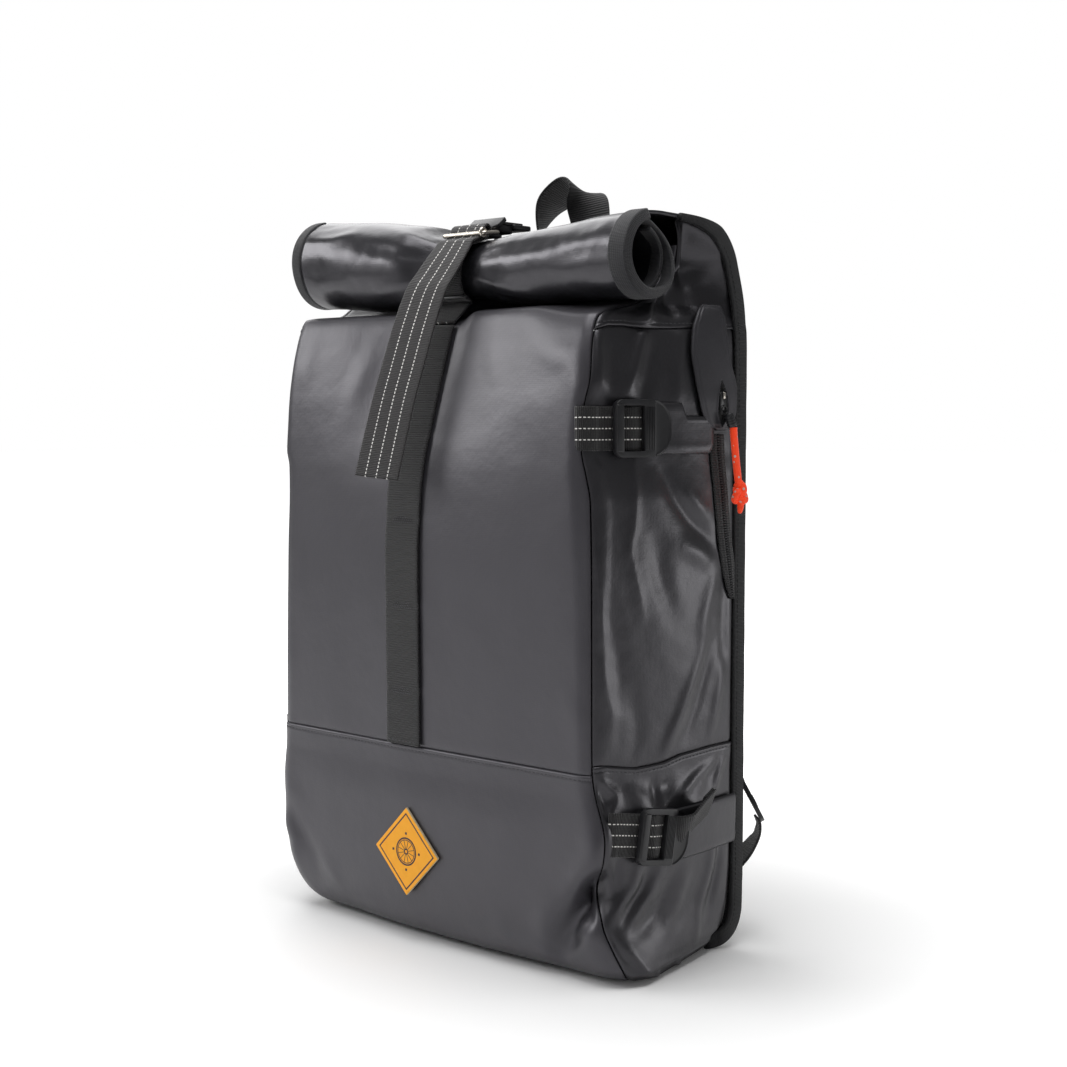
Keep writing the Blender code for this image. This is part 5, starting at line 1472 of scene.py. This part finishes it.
def plastic_hook():
    """Moulded hook: a catch for the ring, a rounded lever that stands up, and a slotted tail."""
    middle = (HOOK_X_LOW + HOOK_X_HIGH) / 2
    width = HOOK_X_HIGH - HOOK_X_LOW
    parts = []
    # Bed under the ring, with the catch at its front
    bed = block("hook", (width - 3, 13.5, 2.3), (middle, -3.5, 451.4))
    parts.append(soften(bed, 0.6))
    catch = block("catch", (width - 6, 2.4, 3.6), (middle, -9.1, 452.2))
    parts.append(soften(catch, 0.9, 3))
    # Lever, leaning back over the ring
    lever = block("lever", (width, 11.5, 3.2), (0, 0, 0))
    mesh = edit(lever, "EDGE")
    pick(mesh, "EDGE", lambda m, d: abs(d.z) > 0.9 and m.y < 0)
    bpy.ops.mesh.bevel(offset=4.5 * MM, segments=5, affect="EDGES")
    close()
    soften(lever, 0.9, 3)
    lever.data.transform(Matrix.Translation(Vector((middle, 1.2, 459.4)) * MM)
                         @ Matrix.Rotation(math.radians(38), 4, "X"))
    parts.append(lever)
    # Body, and the tail that the back webbing is threaded through
    trunk = block("trunk", (width - 5, 13, 5.6), (0, 0, 0))
    soften(trunk, 1.4, 3)
    trunk.data.transform(Matrix.Translation(Vector((middle, 8.5, 456.8)) * MM)
                         @ Matrix.Rotation(math.radians(-6), 4, "X"))
    parts.append(trunk)
    tail = block("tail", (width, 17.5, 3.2), (0, 0, 0))
    mesh = edit(tail, "EDGE")
    pick(mesh, "EDGE", lambda m, d: abs(d.z) > 0.9 and m.y > 0)
    bpy.ops.mesh.bevel(offset=3.0 * MM, segments=4, affect="EDGES")
    close()
    soften(tail, 0.8, 3)
    tail.data.transform(Matrix.Translation(Vector((middle, 22.2, 458.2)) * MM)
                        @ Matrix.Rotation(math.radians(0), 4, "X"))
    parts.append(tail)
    for x in (-1, 1):
        rib = block("rib", (2.2, 20, 2.0), (middle + x * (width / 2 - 3.2), 14, 460.2))
        parts.append(soften(rib, 0.6))
    obj = joined("plastic_hook_moulding", parts)
    obj.data.materials.clear()
    obj.data.materials.append(ACETAL)
    settle(obj, "plastic", "plastic_hook")


def hook_webbing():
    """Webbing from the hook over the flap to the foot of the carrying loop."""
    middle = (HOOK_X_LOW + HOOK_X_HIGH) / 2
    s = np.linspace(1.3, 1.62, 40)
    line = roll_points(np.full(s.shape, middle), s)
    ahead = np.gradient(line, axis=0)
    out = unit(np.stack((0 * s, ahead[:, 2], -ahead[:, 1]), -1))
    path = line + out * (0.5 + WEBBING / 2)
    across = np.tile((1.0, 0, 0), (len(s), 1))
    settle(ribbon("hook_webbing", path, across, strip_section(26, WEBBING, 14), PLAIN_WEBBING), "webbing",
           "back_anchor")


def strap_keeper():
    """Dark wire bar across the closing strap, just under the roll."""
    x = CHAIN_X + 1.5
    half = STRAP_WIDTH / 2 + 2.6
    angle, reach = math.radians(222), float(roll_column("radius", x)) + 7.4
    y = float(roll_column("y", x)) + reach * math.cos(angle)
    z = float(roll_column("z", x)) + reach * math.sin(angle)
    path = even_path([(x + a, y + b, z) for a, b in ((-half, 2.4), (-half + 0.7, 0.5), (-half + 2, 0),
                                                       (0, -0.2),
                                                     (half - 2, 0), (half - 0.7, 0.5), (half, 2.4))], 0.8)
    turn = np.linspace(0, TAU, 11)[:-1]
    section = np.stack((np.cos(turn), np.sin(turn)), -1) * 0.95
    obj = ribbon("strap_keeper_bar", path, np.tile((0.0, 0, 1.0), (len(path), 1)), section, ACETAL)
    settle(obj, "plastic", "strap_keeper")


HANDLE_ROWS = (
    (-13, 62.6, 429, -1, 0, 0), (-13, 61.2, 444, -0.97, 0.22, 0), (-10.5, 60.5, 461, -0.60, 0.78, -0.15),
    (-2, 61, 477, -0.25, 0.85, -0.42), (12, 62.5, 486, -0.10, 0.87, -0.48),
    (24, 62.5, 484, 0.35, 0.82, -0.40),
    (30, 62.5, 470, 0.90, 0.42, -0.10), (32, 62, 450, 1, 0.05, 0), (32, 62.6, 430, 1, 0, 0))


def carrying_loop():
    """Loop of webbing, twisted a little as it stands up, with its feet sewn to the flap."""
    both = resample(smooth_path(HANDLE_ROWS, 300), 1.2)
    obj = ribbon("carrying_loop_webbing", both[:, :3], unit(both[:, 3:]), strip_section(28, WEBBING, 16),
                 PLAIN_WEBBING)
    settle(obj, "webbing", "carrying_loop")


def diamond_patch():
    """Leather square on its point, with a printed border and a plain spoked wheel of its own."""
    point, normal = front_spot(np.array(-10), np.array(59))
    lean = unit(np.array((0, normal[1], normal[2])))
    place = basis(point + lean * (GAP + 0.25 + 0.9), (1, 0, 0), lean)
    place = place @ Matrix.Rotation(math.radians(45), 4, "Z")
    leather = block("patch_leather", (40, 40, 1.8))
    mesh = edit(leather, "FACE")
    pick(mesh, "FACE", lambda m, n: n.z > 0.9)
    bpy.ops.mesh.inset(thickness=2.3 * MM)
    bpy.ops.mesh.inset(thickness=0.95 * MM)
    close()
    soften(leather, 0.3, 2)
    leather.data.materials.append(LEATHER)
    leather.data.materials.append(INK)
    leather.data.materials.append(PALE_EDGE)
    for face in leather.data.polygons:
        middle = face.center / MM
        reach = max(abs(middle.x), abs(middle.y))
        if face.normal.z > 0.9 and 16.8 < reach < 17.65:
            face.material_index = 1
        elif abs(face.normal.z) < 0.5 and middle.z < 0.9:
            face.material_index = 2
    parts = []
    for radius, wire in ((8.6, 0.5), (7.4, 0.25), (1.5, 0.45)):
        deselect()
        bpy.ops.mesh.primitive_torus_add(major_radius=radius * MM, minor_radius=wire * MM, major_segments=56,
                                         minor_segments=6)
        bpy.context.object.data.transform(Matrix.Diagonal((1, 1, 0.3, 1)))
        parts.append(bpy.context.object)
    for n in range(12):
        spoke = block("spoke", (0.3, 6, 0.16), (0, 4.4, 0))
        spoke.data.transform(Matrix.Rotation(math.radians(30 * n + 15), 4, "Z"))
        parts.append(spoke)
    for x, y in ((11.7, 0), (-11.7, 0), (0, 11.7), (0, -11.7)):
        parts.append(block("dot", (1.5, 1.5, 0.16), (x, y, 0)))
    wheel = joined("patch_wheel", parts)
    wheel.data.materials.clear()
    wheel.data.materials.append(INK)
    wheel.data.transform(Matrix.Rotation(math.radians(-45), 4, "Z"))
    wheel.data.transform(place @ Matrix.Translation((0, 0, 0.95 * MM)))
    leather.data.transform(place)
    settle(leather, "leather", "diamond_patch")
    settle(wheel, "leather")


# The side zip, its welded cover and its pull

ZIP_ROWS = ((222, 55), (232, 50), (246, 45), (280, 39), (308, 36), (325, 35))
COVER_ROWS = ((326.5, 41, 48), (331, 31, 56), (340, 26, 59), (352, 23, 59.4),
              (369, 21.8, 54.5), (385, 25.5, 52.5), (397, 32.5, 51.5), (403, 40, 50.5))
SLIT_LOW, SLIT_HIGH, SLIT_Y, SLIT_HALF = 329.5, 357, 44.3, 4.3


def zip_tape():
    """Two edges of tape with a moulded coil between them, up the back of the right side."""
    table = smooth_table(("z", "front"), ZIP_ROWS, 1)
    z = np.arange(222.2, 325, 1.4)
    front = np.interp(z, table["z"], table["front"])
    rear = np.minimum(front + 14, 59.3)
    share = np.linspace(0, 1, 23)
    z_grid, share = np.meshgrid(z, share, indexing="ij")
    y = front[:, None] + (rear - front)[:, None] * share
    middle = np.abs(share - 0.5)
    lift = 1.5 - 0.9 * np.exp(-(middle / 0.05) ** 2) + 0.35 * np.exp(-((middle - 0.2) / 0.07) ** 2)
    lift -= 0.9 * np.exp(-(0.5 - middle) / 0.03)
    points, _ = side_spot(1, y, z_grid, lift)
    obj = shell("zip_tape_cloth", points, grid_normals(points), 1.1, np.stack((share * 14, z_grid), -1),
                PLAIN_WEBBING)
    settle(obj, "webbing", "zip_tape")
    # Teeth of the coil, drawn 1.6 mm apart so that they show
    vertices, faces = [], []
    for height in np.arange(224, 324, 1.6):
        wide = float(np.interp(height, z, rear - front))
        y_mid = float(np.interp(height, z, front)) + wide / 2
        point, normal = side_spot(1, np.array(y_mid), np.array(height), np.array(1.25))
        along, up = np.array((0, 1, 0)), np.array((0, 0, 1))
        first = len(vertices)
        for a, b, c in ((-1.9, 0, -0.5), (-1.2, 0.5, 0.1), (0, 0, 0.45), (1.2, 0.5, 0.1), (1.9, 0, -0.5)):
            for k in range(4):
                turn = TAU * (k + 0.5) / 4
                vertices.append(point + along * a + up * 0.5 * math.cos(turn)
                                + normal * (c + 0.5 * math.sin(turn)))
        for ring in range(4):
            for k in range(4):
                p, q = first + ring * 4 + k, first + ring * 4 + (k + 1) % 4
                faces.append((p, p + 4, q + 4, q))
        faces.append(tuple(first + k for k in range(4)))
        faces.append(tuple(first + 16 + k for k in reversed(range(4))))
    teeth = link_mesh("zip_teeth", vertices, faces, ACETAL)
    recalculate(teeth)
    settle(teeth, "plastic")
    heights = np.arange(226, 323, 1)
    line, out = side_spot(1, np.interp(heights, table["z"], table["front"]) + 1.3, heights, 1.1)
    stitches("zip_stitches", [(line, out)], THREAD, "webbing", pitch=2.8, length=2, thick=0.22)


def recalculate(obj):
    """Turn all the faces of a closed piece outwards."""
    mesh = bmesh.new()
    mesh.from_mesh(obj.data)
    bmesh.ops.recalc_face_normals(mesh, faces=mesh.faces)
    mesh.to_mesh(obj.data)
    mesh.free()


def slit_depth(y, z):
    """1 in the middle of the cover's slit and 0 outside it."""
    t = np.clip((z - SLIT_LOW) / (SLIT_HIGH - SLIT_LOW), 0, 1)
    half = SLIT_HALF * np.sin(math.pi * t ** 0.8) + 0.01
    return smoothstep((1.15 - np.abs(y - SLIT_Y) / half) / 0.3) * (t > 0) * (t < 1)


def zip_cover():
    """Welded cover over the zip's end: a leaf-shaped patch with a slit that the slider sits in."""
    table = smooth_table(("z", "front", "rear"), COVER_ROWS, 0.25)
    z = np.linspace(326.6, 402.9, 116)
    share = np.linspace(0, 1, 56)
    z_grid, share = np.meshgrid(z, share, indexing="ij")
    front, rear = (np.interp(z_grid, table["z"], table[name]) for name in ("front", "rear"))
    y = mix(front, rear, share)
    edge = np.minimum(np.minimum(y - front, rear - y), np.minimum(z_grid - 326.6, 402.9 - z_grid))
    lift = 2.2 + 1.5 - 1.7 * np.exp(-edge / 0.8) - 0.35 * np.exp(-((edge - 2.6) / 0.7) ** 2)
    inside = slit_depth(y, z_grid)
    lip = np.clip(slit_depth((y - SLIT_Y) * 0.72 + SLIT_Y, z_grid) - inside, 0, 1)
    lift = lift - 1.9 * inside + 0.45 * lip + 0.15 * rumple(y, z_grid, 20, 51)
    points, _ = side_spot(1, y, z_grid, lift)
    obj = shell("zip_cover_cloth", points, grid_normals(points), 1.4, np.stack((y, z_grid), -1), COVER_CLOTH)
    # The faces deep in the slit take the black thread's material: painted shade inside the slit.
    obj.data.materials.append(BLACK_THREAD)
    slit_shade_cells = inside[:-1, :-1] > 0.55
    index = np.zeros(len(obj.data.polygons), np.int32)
    index[:slit_shade_cells.size] = slit_shade_cells.ravel()
    obj.data.polygons.foreach_set("material_index", index)
    settle(obj, "side_tarpaulin", "zip_cover")


def zip_slider():
    """Cast slider with its bridge and pull ring, half hidden in the slit."""
    point, normal = side_spot(1, np.array(43.8), np.array(344.5), np.array(3))
    place = basis(point, (0, 1, 0), normal)
    body = block("slider", (6.6, 11.5, 2.2), (0, 0, 0.4))
    mesh = edit(body, "EDGE")
    pick(mesh, "EDGE", lambda m, d: abs(d.z) > 0.9 and m.y > 0)
    bpy.ops.mesh.bevel(offset=2.2 * MM, segments=4, affect="EDGES")
    close()
    soften(body, 0.6, 2)
    bridge = soften(block("bridge", (2, 4.2, 1.3), (0, 3.4, 1.9)), 0.55, 3)
    body.data.materials.append(DARK_METAL)
    bridge.data.materials.append(STEEL)
    parts = [body, bridge]
    deselect()
    bpy.ops.mesh.primitive_torus_add(major_radius=2.6 * MM, minor_radius=0.7 * MM, major_segments=28,
                                     minor_segments=8)
    ring = bpy.context.object
    ring.data.transform(Matrix.Translation((0, -5.6 * MM, 1.7 * MM)))
    ring.data.materials.append(DARK_METAL)
    parts.append(ring)
    obj = joined("zip_slider_casting", parts)
    obj.data.transform(place)
    settle(obj, "steel", "zip_slider")


SLEEVE_POINTS = ((156.6, 44.7, 336.9), (157.5, 45.4, 333), (158.5, 46.6, 328.8))
CORD_POINTS = ((158.8, 46.8, 328.4), (159, 46.9, 324), (159.2, 47.4, 318.5), (159.3, 48.3, 312),
               (159.3, 49.6, 305), (159.2, 51.2, 297.6))
CORD_DIAMETER = 4.6


def round_section(radius, sides=20):
    turn = np.linspace(0, TAU, sides + 1)[:-1]
    return np.stack((np.cos(turn), np.sin(turn)), -1) * radius


def zip_pull():
    """Rubber sleeve, braided cord and the overhand knot at its end."""
    path = even_path(SLEEVE_POINTS, 0.5)
    tangent, across, normal = ribbon_frames(path, np.tile((0, 1, 0), (len(path), 1)))
    run = np.linspace(0, 1, len(path))
    swell = 3.25 - 0.9 * np.exp(-run / 0.06) - 0.7 * np.exp(-(1 - run) / 0.06) + 0.18 * np.sin(run * 34)
    turn = np.linspace(0, TAU, 25)[:-1]
    rings = (path[:, None] + across[:, None] * (np.cos(turn)[None] * swell[:, None])[..., None]
             + normal[:, None] * (np.sin(turn)[None] * swell[:, None] * 0.9)[..., None])
    uv = map_of(np.linspace(0, 20, 25), run * 9)
    settle(tube("pull_sleeve_rubber", rings, uv, ACETAL), "plastic", "pull_sleeve")

    # Trefoil: the cord enters at its top and leaves below
    turn = np.linspace(math.pi, 3 * math.pi, 40)
    flat, tall = np.sin(turn) + 2 * np.sin(2 * turn), 2 * np.cos(2 * turn) - np.cos(turn)
    deep = -np.sin(3 * turn)
    knot = (np.array((159.4, 53.2, 287.6)) + (flat * 1.3)[:, None] * np.array((0.5, 0.86, 0))
            + (deep * 1.7)[:, None] * np.array((0.86, -0.5, 0)) + (tall * 2)[:, None] * np.array((0, 0, 1)))
    line = [(159.2, 51.2, 297.6), (159.1, 51.8, 295.6), *knot[1:-1],
            (159.6, 53.6, 286), (159.6, 53.9, 282),
            (159.5, 53.6, 278.6), (159.4, 53, 275.8)]
    path = even_path(line, 0.55, 900)
    run = np.linspace(0, 1, len(path))
    radius = 2.25 * (1 - 0.6 * np.exp(-(1 - run) / 0.03)) + 0.06 * np.sin(run * 160)
    tangent, across, normal = ribbon_frames(path, np.tile((0.2, 0.1, 1), (len(path), 1)))
    turn = np.linspace(0, TAU, 17)[:-1]
    rings = (path[:, None] + across[:, None] * (np.cos(turn)[None] * radius[:, None])[..., None]
             + normal[:, None] * (np.sin(turn)[None] * radius[:, None])[..., None])
    uv = map_of(np.linspace(0, 14, 17), run * 90)
    knot = settle(tube("pull_cord_knot", rings, uv, CORD), "cord", "pull_knot")

    curve = bpy.data.curves.new("pull_cord_braid", "CURVE")
    curve.dimensions = "3D"
    curve.bevel_depth = CORD_DIAMETER / 2 * MM
    curve.bevel_resolution = 6
    curve.use_fill_caps = True
    points = smooth_path(CORD_POINTS, 26)
    spline = curve.splines.new("POLY")
    spline.points.add(len(points) - 1)
    for target, point in zip(spline.points, points):
        target.co = (*(point * MM), 1)
    curve.materials.append(CORD)
    cord = bpy.data.objects.new("pull_cord_braid", curve)
    bpy.context.collection.objects.link(cord)
    settle(cord, "cord", "pull_cord")


# Back padding and shoulder straps

def back_panel():
    """Foam back panel under spacer mesh, with raised pads on both sides of an air channel."""
    t = np.concatenate((np.linspace(0, 3, 40), np.linspace(3, FLAP_START - 0.02, 190)[1:]))
    share = np.linspace(1, -1, 140)
    t, share = np.meshgrid(t, share, indexing="ij")
    pinch = BASE_PINCH * np.maximum(0, 1 - t / BASE_PINCH_ROWS) ** 2
    x = share * BACK_HALF_WIDTH * (1 - pinch)
    line = spine_points(t)
    points = np.stack((x, line[..., 0], line[..., 1]), -1)
    normals = grid_normals(points)
    height = line[..., 1]

    def cushion(low_x, high_x, low_z, high_z, rise):
        far = np.minimum(np.minimum(np.abs(x) - low_x, high_x - np.abs(x)),
                         np.minimum(height - low_z, high_z - height))
        return rise * np.sqrt(1 - (1 - np.clip(far / 14, 0, 1)) ** 2)
    lift = cushion(16, 122, 196, 338, 4.2) + cushion(16, 122, 70, 180, 4.6)
    seam = np.exp(-((np.abs(np.abs(x) - 136)) / 1.4) ** 2) * (height > 30)
    lift = lift - 0.9 * seam + 0.25 * rumple(x, height, 60, 61)
    lift = lift - 1.2 * np.exp(-(BACK_HALF_WIDTH * (1 - pinch) - np.abs(x)) / 1.6)
    points = points + normals * lift[..., None]
    points[..., 2] = np.maximum(points[..., 2], 0.2)
    run = height
    obj = shell("back_panel_pad", points, grid_normals(points), 6.6, np.stack((x, run), -1), SPACER_MESH)
    settle(obj, "mesh_pad", "back_panel")


PAD_ROWS = ((44, 76.2, 386), (46, 81.4, 366), (49, 91, 340), (54, 100, 300), (61, 105, 255), (70, 105, 210),
            (79, 100, 170), (88, 94, 138))
TAB_ROWS = ((86.6, 94.9, 148), (88.4, 93.8, 136.5), (91.5, 92.4, 127), (104, 95, 117.5), (119, 97.5, 107.5),
            (127, 98, 97.5))
WEB_ROWS = ((142.8, 97.3, 76.1), (144.9, 96.6, 72.6), (146, 93, 66), (142.5, 86, 56), (136, 79, 47),
            (131.5, 73.8, 40), (129.5, 72.4, 33))


def shoulder_straps(lock):
    """Padded straps sewn under the flap, with webbing and a lock down to the foot of the back."""
    for hand, side in ((1, "right"), (-1, "left")):
        flip = np.array((hand, 1, 1))

        def across_at(angle):
            return np.stack((np.cos(angle), -hand * 0.12 * np.sin(angle), hand * np.sin(angle)), -1)

        path = resample(smooth_path(PAD_ROWS, 300), 2.2) * flip
        run = np.linspace(0, 1, len(path))
        across = across_at(np.radians(14) * run)
        half = 30.0 - 3.0 * np.exp(-run / 0.05) - 4.0 * np.exp(-(1 - run) / 0.04)
        turn = np.linspace(0, TAU, 57)[:-1]
        shape = np.stack((np.sign(np.cos(turn)) * np.abs(np.cos(turn)) ** 0.55,
                          np.sign(np.sin(turn)) * np.abs(np.sin(turn)) ** 0.8), -1)
        tangent, across_v, normal = ribbon_frames(path, across)
        thick = 4.2 + 0.25 * np.sin(run * 40)
        crown = 1 - 0.42 * np.exp(-((np.abs(shape[:, 0]) - 0.86) / 0.06) ** 2)
        rings = (path[:, None] + across_v[:, None] * (shape[:, 0][None] * half[:, None])[..., None]
                 + normal[:, None] * (shape[:, 1][None] * crown[None] * thick[:, None])[..., None])
        around = np.concatenate((turn, [TAU])) * 21
        along = run * 290
        uv = map_of(around, along)
        pad = tube("shoulder_pad_mesh_" + side, rings, uv, SPACER_MESH)
        settle(pad, "mesh_pad", "shoulder_pad_" + side)

        # Webbing sewn along the pad's outer face
        outer = path + normal * (4.9 * np.sign(normal[:, 1:2]))
        strip = ribbon("shoulder_webbing_" + side, outer[6:-4], across[6:-4], strip_section(20, 1.4, 12),
                       PLAIN_WEBBING)
        settle(strip, "webbing")

        turned = unit(np.array((0.67, -0.74, 0)) * flip) * hand
        path = resample(smooth_path(TAB_ROWS, 200), 1.2) * flip
        run = np.linspace(0, 1, len(path))[:, None]
        widths = mix(across_at(np.radians(14) * np.ones(1)), turned[None], np.clip(1.55 * run - 0.3, 0, 1))
        strip = strip_section(19, WEBBING, 12)
        settle(ribbon("shoulder_tab_webbing_" + side, path, widths, strip, PLAIN_WEBBING), "webbing",
               "shoulder_tab_" + side)
        path = resample(smooth_path(WEB_ROWS, 200), 1.2) * flip
        run = np.linspace(0, 1, len(path))[:, None]
        plain = np.array((1, 0, 0))
        widths = mix(turned[None], plain[None], np.clip(1.6 * run - 0.3, 0, 1))
        settle(ribbon("shoulder_web_webbing_" + side, path, widths, strip, PLAIN_WEBBING), "webbing",
               "shoulder_web_" + side)
        tab_end, web_start = np.array(TAB_ROWS[-1]) * flip, np.array(WEB_ROWS[0]) * flip
        along = unit(web_start - tab_end)
        out = unit(np.cross(along, turned))
        out = out if out[1] > 0 else -out
        place = basis((tab_end + web_start) / 2 + out * 3.1, along, out)
        place = place @ Matrix.Diagonal((0.864, 0.72, 0.72, 1))
        settle(placed_copy(lock, "shoulder_ladder_lock_" + side, place), "plastic", "shoulder_lock_" + side)


# Floor, light and camera

def studio():
    floor_material, add, shader = new_material("pale studio floor", Roughness=0.55,
                                               Emission_Color=(1, 1, 1, 1))
    place = add("TexCoord").outputs["Object"]
    mottle = add("TexNoise", {"Vector": place, "Scale": 3.0})
    tint = add("Mix", {0: mottle, 6: linear("#FBFBFB"), 7: linear("#FFFFFF")}, data_type="RGBA")
    # Further out the floor brightens to the backdrop's white, so that no line shows between them
    far = add("VectorMath", {0: place}, operation="LENGTH")
    glow = add("MapRange", {"Value": far, "From Min": 0.08, "From Max": 0.8}, interpolation_type="SMOOTHSTEP")
    seen = add("Math", {0: glow, 1: add("LightPath").outputs["Is Camera Ray"]}, operation="MULTIPLY")
    feed(shader, {"Base Color": tint, "Emission Strength": seen})
    deselect()
    bpy.ops.mesh.primitive_plane_add(size=30)
    floor = bpy.context.object
    floor.name = floor.data.name = "floor"
    floor.data.materials.append(floor_material)

    world = bpy.data.worlds.new("studio")
    world.use_nodes = True
    seen = add_node(world.node_tree, "LightPath").outputs["Is Camera Ray"]
    level = add_node(world.node_tree, "MapRange", {"Value": seen, "To Min": 0.2})
    feed(world.node_tree.nodes["Background"], {"Color": (1, 1, 1, 1), "Strength": level})
    bpy.context.scene.world = world
    bpy.context.scene.view_settings.view_transform = "Standard"

    # Name, place, aim, width, height, power and spread in degrees
    lights = (("front softbox", (-1.15, -1.6, 0.85), (0, 0, 0.26), 1.2, 1.2, 3.9, 180),
              ("high softbox", (-1.6, -1.1, 1.25), (0, -0.05, 0.38), 1.3, 0.7, 16.5, 180),
              ("back softbox", (-1.45, 0.75, 1.65), (0, -0.02, 0.42), 1.3, 1.3, 13, 180),
              ("overhead softbox", (0.1, -0.15, 1.9), (0.05, -0.02, 0), 1.5, 1.3, 26, 180),
              ("side softbox", (1.1, 0.95, 0.14), (0.14, 0, 0.08), 0.4, 0.25, 0.27, 80))
    for name, place, aim, width, height, power, spread in lights:
        light = bpy.data.lights.new(name, "AREA")
        light.shape = "RECTANGLE"
        light.size, light.size_y, light.energy = width, height, power
        light.spread = math.radians(spread)
        obj = bpy.data.objects.new(name, light)
        obj.location = place
        obj.rotation_euler = (Vector(aim) - Vector(place)).to_track_quat("-Z", "Y").to_euler()
        bpy.context.collection.objects.link(obj)


def camera():
    data = bpy.data.cameras.new("camera")
    data.lens, data.sensor_width, data.sensor_fit = 57.56, 36, "HORIZONTAL"
    obj = bpy.data.objects.new("camera", data)
    obj.location = (0.766, -0.810, 0.333)
    obj.rotation_euler = (math.radians(90 - 3.806), 0, math.radians(42))
    bpy.context.collection.objects.link(obj)
    bpy.context.scene.camera = obj


def main():
    camera()
    zip_pull()
    body_cloth()
    seam_stitches()
    base_sole()
    roll_cloth()
    roll_tapes()
    edge_tapes()
    back_panel()
    daisy_chain()
    closing_strap()
    wire_ring()
    plastic_hook()
    hook_webbing()
    strap_keeper()
    carrying_loop()
    diamond_patch()
    lock = lock_shape()
    lock.data.materials.clear()
    lock.data.materials.append(ACETAL)
    side_straps(lock)
    loose_tail()
    shoulder_straps(lock)
    bpy.data.objects.remove(lock)
    zip_tape()
    zip_cover()
    zip_slider()
    studio()


main()
